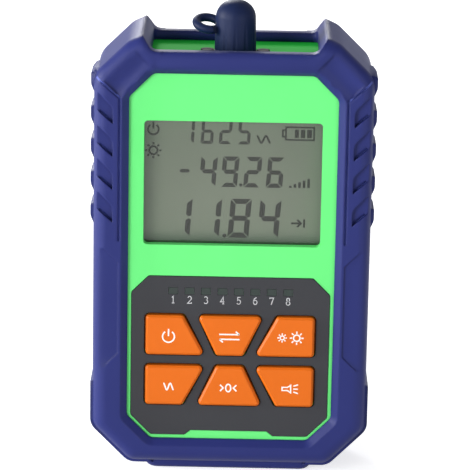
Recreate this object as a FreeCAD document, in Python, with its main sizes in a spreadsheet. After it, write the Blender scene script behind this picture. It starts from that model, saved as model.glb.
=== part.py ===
"""Pocket optical power meter with network cable tester, in a rubber boot.

Millimetres. The meter stands on the foot of its boot: X to the right seen from the
display, -Y towards the display side, +Z up, z = 0 under the foot, x = 0 in the middle.
"""
import FreeCAD, Part
import math
import os
import Sketcher

DOC = FreeCAD.newDocument("optical_power_meter")

DIMENSIONS = {
    # two-part housing
    "housing_half_width": 30.6, "housing_front": 13.4, "housing_bottom": 5.5,
    "housing_top": 103.4, "housing_corner": 8.2, "housing_round": 3.0, "wall": 2.0,
    "front_wall": 2.1, "parting": -2.0, "display_margin": 3.65, "display_drop": 14.8,
    "display_height": 30.75, "display_round": 1.0, "panel_recess": 0.6,
    "boss_inset": 6.1, "boss_rise": 8.5, "boss_drop": 8.4, "boss_radius": 2.5,
    "boss_bore": 1.0, "post_gap": 0.15, "post_step": 10.0, "post_fall": 6.5,
    "post_radius": 2.0, "post_bore": 0.8,
    # rubber boot round the housing
    "boot_side": 3.0, "boot_lip": 2.1, "boot_floor": 3.0, "boot_edge_round": 3.2,
    "boot_low_extra": 1.0, "boot_low_round": 4.0, "rubber_fit": 0.1,
    "shoulder_run": 8.4, "shoulder_fall": 8.2, "shoulder_round": 6.0,
    "horn_run": 3.1, "horn_rise": 3.6, "horn_fall": 1.4, "horn_lean": 2.4,
    "rim_rise": 2.3, "rim_round": 2.2, "rim_edge_round": 0.9,
    "well_side": 1.9, "well_front_wall": 3.5, "well_back_wall": 3.8, "well_round": 1.2,
    "bevel_depth": 1.6, "bevel_width": 1.4, "window_side": 5.5, "window_rim": 3.1,
    "window_corner": 5.8, "window_round": 2.0,
    "back_window_side": 3.9, "back_window_fall": 6.7, "back_window_rise": 11.6,
    "foot_inset": 13.1, "foot_step": 3.5, "foot_round": 3.0, "foot_edge": 1.6,
    "bumper_rise": 0.55, "bumper_height": 21.1, "bumper_step": 2.5,
    # grip of the boot
    "groove_inset": 6.25, "groove_width": 0.5, "groove_depth": 0.7, "groove_drop": 5.2,
    "groove_climb": 5.0, "groove_end": 0.5, "groove_tail": 3.6,
    "rib_drop": 4.6, "rib_pitch": 8.12, "rib_count": 5, "rib_length": 5.1,
    "rib_rise": 0.75, "rib_step": 3.3, "rib_back": 1.0, "rib_fade": 8.0,
    "rib_toe": 0.4, "rib_ramp": 1.9, "rib_soft": 3.0,
    "pocket_inset": 4.65, "pocket_drop": 4.0, "pocket_slope": 0.86, "pocket_rise": 3.4,
    "pocket_round": 2.6, "pocket_depth": 1.0, "slit_width": 0.55, "slit_depth": 0.6,
    "side_panel_gap": 3.6, "side_panel_space": 2.0, "side_panel_leg": 3.5,
    "side_panel_inset": 6.2, "side_panel_depth": 0.35,
    "scoop_inset": 4.5, "scoop_drop": 3.3, "scoop_length": 10.6, "scoop_radius": 6.0,
    "scoop_depth": 0.9, "scoop_angle": 45.7,
    # keypad panel and keys
    "panel_margin": 0.95, "panel_rise": 3.95, "panel_height": 40.5,
    "panel_corner": 4.2, "panel_low_corner": 5.0, "panel_round": 1.0, "panel_proud": 0.2,
    "notch_half_width": 10.95, "notch_rise": 1.2, "notch_slope": 1.5,
    "key_gap": 0.4, "key_proud": 1.2, "key_height": 10.0, "key_rise": 8.0,
    "key_row_gap": 2.8, "key_margin": 3.55, "side_key_long": 14.5, "side_key_short": 9.1,
    "key_space": 3.5, "key_space_narrow": 2.85, "key_round": 0.9, "key_bevel": 0.5,
    "flange_lip": 0.9, "flange_thick": 0.8, "stop_gap": 0.05, "key_travel": 0.5,
    "stem_radius": 1.6, "switch_size": 6.0, "switch_height": 3.4, "plunger_radius": 1.7,
    "plunger_gap": 0.1, "plunger_proud": 1.1, "plunger_depth": 1.2,
    # indicators
    "lamp_pitch": 4.0, "lamp_count": 8, "lamp_drop": 3.65, "lamp_width": 2.2,
    "lamp_height": 1.6, "lamp_fit": 0.05, "guide_gap": 0.4, "led_thick": 0.9,
    # display stack
    "lens_lip": 1.6, "lens_thick": 1.0, "glass_gap": 0.1, "glass_thick": 1.1,
    "glass_ledge": 2.4, "frame_wall": 1.0, "strip_thick": 1.6,
    # main board
    "board_depth": 8.4, "board_thick": 1.6, "board_inset": 3.2, "board_rise": 2.4,
    "board_drop": 4.8, "board_gap": 0.6, "port_notch_gap": 1.3, "port_notch_fall": 2.6,
    # fibre port
    "thread_radius": 4.0, "thread_rise": 7.4, "thread_bore": 2.9,
    "flange_end": 2.0, "flange_radius": 4.3, "flange_proud": 0.1,
    "port_flange_thick": 1.2, "barrel_radius": 3.3, "barrel_drop": 9.4,
    "sleeve_radius": 2.1, "sleeve_bore": 1.26, "sleeve_inset": 1.6, "sleeve_length": 11.6,
    "sleeve_slit": 0.5, "keyway_width": 2.1, "keyway_depth": 2.2, "port_screw_gap": 0.1,
    "detector_radius": 2.6, "detector_length": 3.4, "detector_pin": 0.25,
    # dust cap
    "cap_gap": 0.4, "cap_wall": 1.07, "cap_taper": 0.2, "cap_skirt": 8.1,
    "cap_dome": 4.3, "cap_fit": 0.12, "cap_headroom": 0.2, "flute_radius": 0.7,
    "flute_depth": 0.22, "flute_count": 12, "ring_out": 1.53, "ring_drop": 1.6,
    "ring_radius": 2.9, "ring_wire": 1.05, "ring_pitch": 19.0, "ring_roll": 9.0,
    # network jack
    "jack_wall": 2.0, "jack_front": 3.3, "jack_rear_wall": 2.15, "jack_set": 0.2,
    "jack_length": 15.7, "plug_half_width": 5.9, "plug_front": 1.3, "plug_height": 6.8,
    "plug_depth": 13.0, "latch_half_width": 3.1, "latch_height": 2.1, "jack_gap": 0.15,
    "contact_pitch": 1.02, "contact_width": 0.42, "contact_thick": 0.3, "contact_count": 8,
    "plug_way_side": 0.5, "plug_way_space": 0.85,
    # battery bay
    "cell_radius": 5.25, "cell_length": 43.3, "cell_button_radius": 1.9,
    "cell_button": 1.2, "cell_gap": 0.4, "cell_set": 0.05, "cell_cover": 0.3,
    "bay_side": 0.35, "bay_gap": 3.3, "bay_floor": 0.75, "bay_floor_thick": 1.0,
    "tub_wall": 1.2, "plate_thick": 0.4, "plate_half_width": 4.0, "plate_height": 8.0,
    "spring_length": 4.4, "spring_radius": 2.6, "spring_wire": 0.3, "spring_turns": 4.5,
    # battery door
    "door_overlap": 2.1, "door_gap": 0.3, "door_thick": 1.6, "door_margin": 1.6,
    "door_bead": 1.3, "pivot_radius": 0.8, "pivot_fit": 0.06, "pivot_reach": 1.3,
    "finger_half_width": 5.0, "finger_depth": 0.8, "finger_height": 6.0,
    # screws
    "screw_radius": 0.95, "screw_head": 2.0, "screw_head_thick": 1.3, "screw_length": 9.0,
    "board_screw_radius": 0.75, "board_screw_head": 1.6, "board_screw_length": 4.0,
    "socket_radius": 0.9,
}

# Sizes and places that follow the ones above, each through a named clearance or margin.
FOLLOWING = {
    "cell_pitch": "cell_radius * 2 + cell_gap",
    "cell_y": "bay_floor + cell_radius + cell_set",
    "housing_back": "cell_y + cell_radius + cell_cover + door_thick",
    "board_front": "housing_front - board_depth",
    "display_half_width": "window_half_width - display_margin",
    "display_top": "housing_top - display_drop",
    "display_bottom": "display_top - display_height",
    "boss_x": "housing_half_width - boss_inset",
    "boss_low": "housing_bottom + boss_rise",
    "boss_high": "housing_top - boss_drop",
    "post_x": "display_half_width + lens_lip / 2 + glass_gap + frame_wall + post_radius"
              " + post_gap",
    "post_low": "boss_low + post_step",
    "post_high": "boss_high - post_fall",
    "boot_half_width": "housing_half_width + boot_side",
    "boot_half_depth": "housing_front + boot_lip",
    "boot_base": "housing_bottom - boot_floor",
    "boot_low_corner": "housing_corner + boot_low_extra",
    "rim_top": "housing_top + rim_rise",
    "horn_top": "rim_top + horn_rise",
    "horn_reach": "boot_half_width - shoulder_run - horn_run",
    "shoulder_top": "horn_top - horn_fall",
    "shoulder_base": "shoulder_top - shoulder_fall",
    "rim_half_width": "horn_reach - horn_lean",
    "well_half_width": "horn_reach - well_side",
    "well_front": "boot_half_depth - well_front_wall",
    "well_back": "boot_half_depth - well_back_wall",
    "window_half_width": "housing_half_width - window_side",
    "window_bottom": "housing_bottom + window_rim",
    "window_top": "housing_top - window_rim",
    "foot_half_length": "boot_half_width - foot_inset",
    "foot_half_depth": "boot_half_depth - foot_step",
    "bumper_top": "boot_base + bumper_height",
    "bumper_half_depth": "boot_half_depth - bumper_step",
    "rib_first": "shoulder_base - rib_drop",
    "rib_half_depth": "boot_half_depth - rib_step",
    "groove_x": "boot_half_width - groove_inset",
    "groove_turn": "shoulder_base - groove_drop",
    "groove_low": "rib_first - rib_pitch * (rib_count - 1) - groove_tail",
    "pocket_inner": "boot_half_width - pocket_inset",
    "side_panel_inner": "boot_half_width - side_panel_inset",
    "side_panel_low": "bumper_top + side_panel_gap",
    "side_panel_high": "groove_low - side_panel_space",
    "scoop_x": "boot_half_width - scoop_inset",
    "scoop_z": "shoulder_base - scoop_drop",
    "panel_half_width": "window_half_width - panel_margin",
    "panel_bottom": "housing_bottom + panel_rise",
    "panel_top": "panel_bottom + panel_height",
    "key_row_low": "panel_bottom + key_rise",
    "key_row_pitch": "key_height + key_row_gap",
    "key_outer": "panel_half_width - key_margin",
    "centre_key_long": "key_outer - side_key_short - key_space",
    "centre_key_short": "key_outer - side_key_long - key_space_narrow",
    "lamp_z": "panel_top - lamp_drop",
    "guide_end": "board_front + led_thick + guide_gap",
    "board_half_width": "housing_half_width - board_inset",
    "board_bottom": "housing_bottom + board_rise",
    "board_top": "housing_top - board_drop",
    "board_neck": "boss_x - boss_radius - board_gap",
    "board_neck_low": "boss_low + boss_radius + board_gap",
    "board_neck_high": "boss_high - boss_radius - board_gap",
    "port_y": "parting",
    "barrel_low": "housing_top - barrel_drop",
    "port_notch": "barrel_radius + port_notch_gap",
    "port_notch_low": "barrel_low - detector_length - port_notch_fall",
    "thread_top": "housing_top + thread_rise",
    "sleeve_top": "thread_top - sleeve_inset",
    "sleeve_low": "sleeve_top - sleeve_length",
    "cap_radius": "thread_radius + cap_wall",
    "cap_neck_radius": "cap_radius - cap_taper",
    "cap_base": "housing_top + cap_gap",
    "cap_shoulder": "cap_base + cap_skirt",
    "cap_top": "cap_shoulder + cap_dome",
    "port_screw_x": "cap_radius + board_screw_head + port_screw_gap",
    "flange_slope": "(flange_radius - flange_end) / port_screw_x",
    "flange_long": "flange_radius / flange_slope",
    "flange_wide": "flange_radius / sqrt(1 - flange_slope * flange_slope)",
    "ring_offset": "cap_radius + ring_out",
    "ring_z": "cap_shoulder - ring_drop",
    "jack_half_width": "plug_half_width + jack_wall",
    "jack_back": "plug_front + jack_gap + plug_height + latch_height + jack_rear_wall"
                 " - jack_front",
    "jack_low": "housing_bottom + jack_set",
    "jack_top": "jack_low + jack_length",
    "plug_way_half_width": "jack_half_width + plug_way_side",
    "plug_way_front": "jack_front + plug_way_space",
    "plug_way_back": "jack_back + plug_way_space",
    "bay_bottom": "jack_top + bay_gap",
    "bay_top": "bay_bottom + plate_thick * 2 + spring_length + cell_length + cell_button",
    "bay_half": "cell_pitch + cell_radius + bay_side",
    "door_half_width": "bay_half + door_overlap",
    "door_low": "bay_bottom - door_margin",
    "door_high": "bay_top + door_margin",
    "pivot_y": "housing_back - door_bead",
    "pivot_z": "door_low + door_bead",
    "back_window_half_width": "door_half_width + back_window_side",
    "back_window_bottom": "bay_bottom - back_window_fall",
    "back_window_top": "bay_top + back_window_rise",
}

SHEET = DOC.addObject("Spreadsheet::Sheet", "Sizes")
CELLS = {alias: repr(number) for alias, number in DIMENSIONS.items()}
CELLS.update({alias: "=" + formula for alias, formula in FOLLOWING.items()})
for row, alias in enumerate(CELLS, start=1):
    SHEET.set("A%d" % row, alias.replace("_", " "))
    SHEET.setAlias("B%d" % row, alias)
for row, content in enumerate(CELLS.values(), start=1):
    SHEET.set("B%d" % row, content)
DOC.recompute()


class Size:
    """A length with the sheet expression that gives it."""

    def __init__(self, value, text=None):
        self.value = float(value)
        self.text = text or repr(float(value))

    def __add__(self, other):
        return join(self, "+", other)

    def __radd__(self, other):
        return join(other, "+", self)

    def __sub__(self, other):
        return join(self, "-", other)

    def __rsub__(self, other):
        return join(other, "-", self)

    def __mul__(self, other):
        return join(self, "*", other)

    __rmul__ = __mul__

    def __truediv__(self, other):
        return join(self, "/", other)

    def __neg__(self):
        return Size(-self.value, "(0 - %s)" % self.text)


def size(number):
    """A Size from a Size or a plain number."""
    return number if isinstance(number, Size) else Size(number)


def join(left, sign, right):
    """One Size from two, with both its value and its expression."""
    left, right = size(left), size(right)
    value = {"+": left.value + right.value, "-": left.value - right.value,
             "*": left.value * right.value,
             "/": left.value / right.value if right.value else 0.0}[sign]
    return Size(value, "(%s %s %s)" % (left.text, sign, right.text))


class Sheet:
    """Gives each alias of the sheet as a Size, for example D.boot_base."""

    def __getattr__(self, alias):
        return Size(SHEET.get(alias), "Sizes." + alias)


D = Sheet()
SLANT = 2 - math.sqrt(2)     # how much a 45-degree corner leg grows with its outline
HALF = 0.5


def bind(thing, path, length):
    """Give one property of an object its size through the sheet."""
    thing.setExpression(path, size(length).text)


def new_body(name):
    """An empty body whose label is the piece's name."""
    piece = DOC.addObject("PartDesign::Body", name)
    piece.Label = name
    return piece


def plane_of(piece, role):
    """One of the body's own origin planes or axes, by its role."""
    return next(item for item in piece.Origin.OriginFeatures if item.Role == role)


# For each drawing plane: its role, and the sign that turns a world place into an offset.
PLANES = {"front": ("XZ_Plane", -1), "top": ("XY_Plane", 1), "side": ("YZ_Plane", 1)}


def new_sketch(piece, view, level):
    """A sketch on an origin plane of the body, moved to the given level along its normal."""
    role, sign = PLANES[view]
    drawing = piece.newObject("Sketcher::SketchObject", piece.Name + "_sketch")
    drawing.AttachmentSupport = (plane_of(piece, role), "")
    drawing.MapMode = "FlatFace"
    bind(drawing, "AttachmentOffset.Base.z", size(level) * sign)
    return drawing


def place_point(drawing, index, spot):
    """Fix a sketch point at two sizes measured from the sketch origin."""
    for kind, length in (("DistanceX", spot[0]), ("DistanceY", spot[1])):
        number = drawing.addConstraint(
            Sketcher.Constraint(kind, -1, 1, index, 1, size(length).value))
        bind(drawing, "Constraints[%d]" % number, length)


def unit(start, end):
    """Unit vector from one point to another."""
    step = end.sub(start)
    step.normalize()
    return step


def polygon(drawing, corners):
    """Closed outline through corners (x, y) or (x, y, radius), fully constrained.

    Each corner is a construction point placed by the sheet. Both its lines pass
    through it, and an arc tangent to both rounds it where it has a radius.
    """
    spots = [FreeCAD.Vector(size(c[0]).value, size(c[1]).value, 0) for c in corners]
    count = len(corners)
    reach = []
    for n, corner in enumerate(corners):
        if len(corner) < 3:
            reach.append(0.0)
            continue
        before = unit(spots[n], spots[n - 1])
        after = unit(spots[n], spots[(n + 1) % count])
        reach.append(size(corner[2]).value / math.tan(before.getAngle(after) / 2))
    lines = []
    for n in range(count):
        following = (n + 1) % count
        along = unit(spots[n], spots[following])
        lines.append(drawing.addGeometry(Part.LineSegment(
            spots[n].add(along * reach[n]), spots[following].sub(along * reach[following]))))
    for n, corner in enumerate(corners):
        arriving, leaving = lines[n - 1], lines[n]
        if not reach[n]:
            drawing.addConstraint(Sketcher.Constraint("Coincident", arriving, 2, leaving, 1))
            for kind, length in (("DistanceX", corner[0]), ("DistanceY", corner[1])):
                number = drawing.addConstraint(
                    Sketcher.Constraint(kind, -1, 1, leaving, 1, size(length).value))
                bind(drawing, "Constraints[%d]" % number, length)
            continue
        round_corner(drawing, corner, arriving, leaving, spots, n, reach[n])
    return lines


def round_corner(drawing, corner, arriving, leaving, spots, n, reach):
    """Tangent arc of corner[2] between two lines that aim at the corner point."""
    before = unit(spots[n], spots[n - 1])
    after = unit(spots[n], spots[(n + 1) % len(spots)])
    start, end = spots[n].add(before * reach), spots[n].add(after * reach)
    inward = unit(FreeCAD.Vector(0, 0, 0), before.add(after))
    radius = size(corner[2]).value
    centre = spots[n].add(inward * math.hypot(reach, radius))
    middle = centre.sub(inward * radius)
    arc = drawing.addGeometry(Part.Arc(start, middle, end))
    point = drawing.addGeometry(Part.Point(spots[n]), True)
    place_point(drawing, point, corner)
    drawing.addConstraint(Sketcher.Constraint("PointOnObject", point, 1, arriving))
    drawing.addConstraint(Sketcher.Constraint("PointOnObject", point, 1, leaving))
    turns_left = before.cross(after).z < 0
    first, last = (1, 2) if turns_left else (2, 1)
    drawing.addConstraint(Sketcher.Constraint("Tangent", arriving, 2, arc, first))
    drawing.addConstraint(Sketcher.Constraint("Tangent", arc, last, leaving, 1))
    number = drawing.addConstraint(Sketcher.Constraint("Radius", arc, radius))
    bind(drawing, "Constraints[%d]" % number, corner[2])


def circle(drawing, centre, radius):
    """Circle placed and sized by the sheet."""
    index = drawing.addGeometry(Part.Circle(
        FreeCAD.Vector(size(centre[0]).value, size(centre[1]).value, 0),
        FreeCAD.Vector(0, 0, 1), size(radius).value))
    for kind, length in (("DistanceX", centre[0]), ("DistanceY", centre[1])):
        number = drawing.addConstraint(
            Sketcher.Constraint(kind, -1, 1, index, 3, size(length).value))
        bind(drawing, "Constraints[%d]" % number, length)
    number = drawing.addConstraint(Sketcher.Constraint("Radius", index, size(radius).value))
    bind(drawing, "Constraints[%d]" % number, radius)


def draw(drawing, outlines):
    """Draw polygons, given as lists of corners, and circles, given as (centre, radius)."""
    for outline in outlines:
        if isinstance(outline, tuple):
            circle(drawing, *outline)
        else:
            polygon(drawing, outline)


def finish_feature(piece, feature, grows):
    """Recompute, make the feature the tip and make sure that it changed the solid."""
    before = piece.Shape.Volume if piece.Tip and not piece.Shape.isNull() else 0.0
    piece.Tip = feature
    DOC.recompute()
    change = piece.Shape.Volume - before
    if (change <= 0) if grows else (change >= 0):
        raise RuntimeError("%s of %s changed nothing" % (feature.Name, piece.Label))
    return feature


def extrude(piece, kind, view, outlines, low, high):
    """Pad or Pocket between two world levels along the view's normal."""
    grows = kind == "Pad"
    start_high = (PLANES[view][1] < 0) == grows
    drawing = new_sketch(piece, view, high if start_high else low)
    if not grows:
        drawing_level = low if view == "front" else high
        bind(drawing, "AttachmentOffset.Base.z", size(drawing_level) * PLANES[view][1])
    draw(drawing, outlines)
    feature = piece.newObject("PartDesign::" + kind, piece.Name + "_" + kind.lower())
    feature.Profile = drawing
    bind(feature, "Length", size(high) - low)
    return finish_feature(piece, feature, grows)


def pad(piece, view, outlines, low, high):
    """Add material between two levels."""
    return extrude(piece, "Pad", view, outlines, low, high)


def cut(piece, view, outlines, low, high):
    """Take material away between two levels."""
    return extrude(piece, "Pocket", view, outlines, low, high)


def revolve(piece, corners, kind="Revolution"):
    """Turn an outline of (radius, height) corners about the body's own Z axis."""
    drawing = new_sketch(piece, "front", 0)
    polygon(drawing, corners)
    feature = piece.newObject("PartDesign::" + kind, piece.Name + "_turned")
    feature.Profile = drawing
    feature.ReferenceAxis = (drawing, ["V_Axis"])
    feature.Angle = 360
    return finish_feature(piece, feature, kind == "Revolution")


def pattern(piece, kind, originals, grows, **settings):
    """Repeat features: a Mirrored, LinearPattern or PolarPattern of the body."""
    feature = piece.newObject("PartDesign::" + kind, piece.Name + "_" + kind.lower())
    feature.Originals = originals
    for name, value in settings.items():
        if isinstance(value, Size):
            bind(feature, name, value)
        else:
            setattr(feature, name, value)
    return finish_feature(piece, feature, grows)


def mirror(piece, originals, grows):
    """Repeat features on the other side of x = 0."""
    return pattern(piece, "Mirrored", originals, grows,
                   MirrorPlane=(plane_of(piece, "YZ_Plane"), [""]))


def row_of(piece, originals, grows, axis, length, occurrences):
    """Repeat features along a body axis over a whole length."""
    return pattern(piece, "LinearPattern", originals, grows,
                   Direction=(plane_of(piece, axis), [""]), Mode="Extent",
                   Length=size(length), Occurrences=int(occurrences.value))


def edges_where(shape, test):
    """Names of the edges whose every sampled point passes a test."""
    names = []
    for number, edge in enumerate(shape.Edges, start=1):
        first, last = edge.ParameterRange
        points = [edge.valueAt(first + (last - first) * t) for t in (0.0, 0.25, 0.5, 0.75, 1.0)]
        if all(test(p) for p in points):
            names.append("Edge%d" % number)
    return names


def dress(piece, kind, length, test):
    """Fillet or Chamfer on the edges whose points pass a test."""
    base = piece.Tip
    names = edges_where(base.Shape, test)
    if not names:
        raise RuntimeError("no edge to round on " + piece.Label)
    feature = piece.newObject("PartDesign::" + kind, piece.Name + "_" + kind.lower())
    feature.Base = (base, names)
    bind(feature, "Radius" if kind == "Fillet" else "Size", length)
    piece.Tip = feature
    DOC.recompute()
    return feature


def near(value, target, tolerance=0.02):
    """True where a coordinate lies on a level."""
    return abs(value - size(target).value) < tolerance


def box_outline(left, right, low, high, radius=None):
    """Rectangle, rounded where a radius is given."""
    corners = [(left, low), (right, low), (right, high), (left, high)]
    return corners if radius is None else [corner + (radius,) for corner in corners]


def both_sides(right_half):
    """A closed outline from its right half, listed from the bottom up."""
    left_half = [(-size(c[0]),) + tuple(c[1:]) for c in reversed(right_half)]
    return right_half + left_half


def move_body(piece, x=None, y=None, z=None):
    """Place a body that was drawn about its own axis."""
    for letter, length in (("x", x), ("y", y), ("z", z)):
        if length is not None:
            bind(piece, "Placement.Base." + letter, length)


def group(name, shapes):
    """Several equal solids kept in one piece, set with Part's own functions."""
    piece = DOC.addObject("Part::Feature", name)
    piece.Label = name
    piece.Shape = Part.Compound(shapes)
    return piece


def at(shape, x, y, z):
    """Copy of a shape moved by three sizes."""
    copy = shape.copy()
    copy.translate(FreeCAD.Vector(size(x).value, size(y).value, size(z).value))
    return copy


# ---- outlines that several pieces share ----

def boot_outline(rise=0):
    """Front view of the boot, its top closed between the horns; rise moves it outward."""
    side, base = D.boot_half_width + rise, D.boot_base - rise
    leg = D.boot_low_corner + size(rise) * SLANT
    return both_sides([
        (side - leg, base, D.boot_low_round), (side, base + leg, D.boot_low_round),
        (side, D.shoulder_base, D.shoulder_round),
        (side - D.shoulder_run, D.shoulder_top, D.shoulder_round),
        (D.horn_reach, D.horn_top)])


def housing_outline(grow=0):
    """Front view of the housing, moved outward by grow."""
    side, low, high = (D.housing_half_width + grow, D.housing_bottom - grow,
                       D.housing_top + grow)
    leg = D.housing_corner + size(grow) * SLANT
    rounding = D.housing_round + grow
    return both_sides([
        (side - leg, low, rounding), (side, low + leg, rounding),
        (side, high - leg, rounding), (side - leg, high, rounding)])


def window_outline(grow=0):
    """Octagonal front window of the boot, moved outward by grow."""
    side, low, high = (D.window_half_width + grow, D.window_bottom - grow,
                       D.window_top + grow)
    leg = D.window_corner + size(grow) * SLANT
    rounding = D.window_round + grow
    return both_sides([
        (side - leg, low, rounding), (side, low + leg, rounding),
        (side, high - leg, rounding), (side - leg, high, rounding)])


def panel_outline(grow=0):
    """Keypad panel with its cut corners and the step in its lower edge."""
    side, low, high = (D.panel_half_width + grow, D.panel_bottom - grow, D.panel_top + grow)
    step = D.notch_half_width - grow
    return both_sides([
        (step - D.notch_slope, low + D.notch_rise), (step, low),
        (side - D.panel_low_corner, low, D.panel_round),
        (side, low + D.panel_low_corner, D.panel_round),
        (side, high - D.panel_corner, D.panel_round),
        (side - D.panel_corner, high, D.panel_round)])


KEY_NAMES = {"power": (-1, 1), "unit": (0, 1), "light": (1, 1),
             "wavelength": (-1, 0), "reference": (0, 0), "lamp": (1, 0)}


def key_outline(column, row, grow=0):
    """Front view of one key: trapezia whose slanting edges run side by side."""
    low = D.key_row_low + D.key_row_pitch * row
    high = low + D.key_height + grow
    low = low - grow
    rounding = D.key_round + grow
    if column == 0:
        top, bottom = (D.centre_key_long, D.centre_key_short)
        if row == 0:
            top, bottom = bottom, top
        corners = both_sides([(bottom + grow, low, rounding), (top + grow, high, rounding)])
        return corners
    top, bottom = D.key_outer - D.side_key_long, D.key_outer - D.side_key_short
    top, bottom = (bottom, top) if row == 1 else (top, bottom)
    corners = [(bottom - grow, low, rounding), (D.key_outer + grow, low, rounding),
               (D.key_outer + grow, high, rounding), (top - grow, high, rounding)]
    if column > 0:
        return corners
    return [(-size(x), z, r) for x, z, r in reversed(corners)]


def key_outlines(grow):
    """The outlines of all six keys."""
    return [key_outline(column, row, grow) for column, row in KEY_NAMES.values()]


def lamp_row(piece, view_low, view_high, grow, kind="Pocket"):
    """Eight indicator places in a row, as pads or pockets of a body."""
    half_row = D.lamp_pitch * (D.lamp_count - 1) * HALF
    half_wide, half_high = D.lamp_width * HALF + grow, D.lamp_height * HALF + grow
    outline = box_outline(-half_row - half_wide, -half_row + half_wide,
                          D.lamp_z - half_high, D.lamp_z + half_high)
    first = extrude(piece, kind, "front", [outline], view_low, view_high)
    return row_of(piece, [first], kind == "Pad", "X_Axis", half_row * 2, D.lamp_count)


def flange_outline(grow=0):
    """Rhombic flange of the fibre port about its own axis: a wide middle, narrow ends."""
    scale = (D.flange_radius + grow) / D.flange_radius
    long, wide = D.flange_long * scale, D.flange_wide * scale
    end, middle = D.flange_end * scale, D.flange_radius * scale
    return [(long, 0, end), (0, wide, middle), (-long, 0, end), (0, -wide, middle)]


# ---- rubber boot ----

def make_boot():
    """One moulding: frame around the display side, horns, grips, bumpers and foot."""
    piece = new_body("boot")
    front, back = -D.boot_half_depth, D.boot_half_depth
    pad(piece, "front", [boot_outline()], front, back)
    dress(piece, "Fillet", D.boot_edge_round,
          lambda p: near(p.y, front) or near(p.y, back))
    add_bumpers(piece)
    add_foot(piece)
    add_ribs(piece)
    cut_rim(piece)
    cut_grip(piece)
    cut_groove(piece)
    cut_side_panels(piece)
    cut(piece, "front", [housing_outline(D.rubber_fit)],
        -D.housing_front - D.rubber_fit, D.housing_back + D.rubber_fit)
    cut(piece, "top", [box_outline(-D.well_half_width, D.well_half_width, -D.well_front,
                                   D.well_back, D.well_round)],
        D.housing_top, D.horn_top)
    cut_window(piece)
    cut_scoops(piece)
    back_leg = [(D.back_window_half_width, D.back_window_bottom, D.window_round),
                (D.back_window_half_width, D.back_window_top, D.window_round)]
    cut(piece, "front", [both_sides(back_leg)], D.housing_back, back)
    cut(piece, "top", [box_outline(-D.plug_way_half_width, D.plug_way_half_width,
                                   -D.plug_way_front, D.plug_way_back, D.well_round)],
        0, D.housing_bottom)
    return piece


def mirrored(corners):
    """The same outline on the other side of x = 0."""
    return [(-size(c[0]),) + tuple(c[1:]) for c in reversed(corners)]


def add_bumpers(piece):
    """Thicker rubber that wraps both lower corners."""
    outer = boot_outline(D.bumper_rise)[:2]
    depth = D.bumper_half_depth
    corners = [(D.foot_half_length - D.wall, D.boot_base - D.bumper_rise),
               outer[0], outer[1],
               (D.boot_half_width + D.bumper_rise, D.bumper_top - D.bumper_rise * 2),
               (D.boot_half_width - D.wall, D.bumper_top + D.bumper_rise),
               (D.boot_half_width - D.wall, D.boot_base + D.boot_low_corner + D.wall * 2),
               (D.boot_half_width - D.boot_low_corner - D.wall, D.boot_base + D.wall)]
    pad(piece, "front", [corners, mirrored(corners)], -depth, depth)


def add_foot(piece):
    """Foot that the meter stands on, with rounded lower edges."""
    outline = box_outline(-D.foot_half_length, D.foot_half_length, -D.foot_half_depth,
                          D.foot_half_depth, D.foot_round)
    pad(piece, "top", [outline], 0, D.boot_base + D.wall)
    dress(piece, "Fillet", D.foot_edge, lambda p: near(p.z, 0))


def rib_low(number):
    """Lower end of one grip rib, counted from the top."""
    return D.rib_first - D.rib_pitch * number


def add_ribs(piece):
    """Grip ribs down each side, steep above, soft below and fading out towards the back."""
    root, crest = D.boot_half_width - D.wall, D.boot_half_width + D.rib_rise
    outlines = []
    for number in range(int(D.rib_count.value)):
        low = rib_low(number)
        rib = [(D.boot_half_width - D.rib_toe, low - D.rib_toe * 2),
               (crest, low + D.rib_ramp, D.rib_soft),
               (crest, low + D.rib_length - D.rib_rise * HALF, D.rib_rise * HALF),
               (root, low + D.rib_length + D.rib_rise * HALF), (root, low + D.rib_ramp)]
        outlines += [rib, mirrored(rib)]
    pad(piece, "front", outlines, -D.rib_half_depth, D.rib_back)
    spare = crest + D.rib_toe
    fade = [(D.boot_half_width, D.rib_back), (spare, D.rib_back - D.rib_fade),
            (spare, D.rib_back + D.rib_toe), (D.boot_half_width, D.rib_back + D.rib_toe)]
    cut(piece, "top", [fade, mirrored(fade)], rib_low(D.rib_count), D.shoulder_top)


def cut_grip(piece):
    """Leaf-shaped finger pockets between the ribs, on the display side and the back."""
    outside = D.boot_half_width + D.wall
    leaves, slits = [], []
    for number in range(1, int(D.rib_count.value)):
        notch = rib_low(number) + D.rib_length
        low = notch - D.pocket_drop
        outer_low = low + (outside - D.pocket_inner) * D.pocket_slope
        leaf = [(D.pocket_inner, low), (outside, outer_low),
                (outside, notch + D.pocket_rise + D.rib_rise),
                (D.boot_half_width - D.pocket_round * HALF, notch + D.pocket_rise,
                 D.pocket_round),
                (D.pocket_inner, notch, D.pocket_round)]
        end = D.boot_half_width - D.boot_edge_round * HALF
        rise = (end - D.pocket_inner) * D.pocket_slope
        slit = [(D.pocket_inner, low), (end, low + rise), (end, low + rise + D.slit_width),
                (D.pocket_inner, low + D.slit_width)]
        leaves += [leaf, mirrored(leaf)]
        slits += [slit, mirrored(slit)]
    front, depth = -D.boot_half_depth, D.pocket_depth
    cut(piece, "front", leaves, front, front + depth)
    cut(piece, "front", slits, front + depth, front + depth + D.slit_depth)
    cut(piece, "front", leaves, -front - depth, -front)


def cut_groove(piece):
    """Thin groove that frames the grip on the display side."""
    near_x, far_x = D.groove_x - D.groove_width * HALF, D.groove_x + D.groove_width * HALF
    end_x, end_z = D.boot_half_width - D.groove_end, D.groove_turn + D.groove_climb
    groove = [(far_x, D.groove_low), (far_x, D.groove_turn - D.groove_width * HALF),
              (end_x, end_z - D.groove_width), (end_x, end_z), (near_x, D.groove_turn),
              (near_x, D.groove_low)]
    front = -D.boot_half_depth
    cut(piece, "front", [groove, mirrored(groove)], front, front + D.groove_depth)


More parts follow.
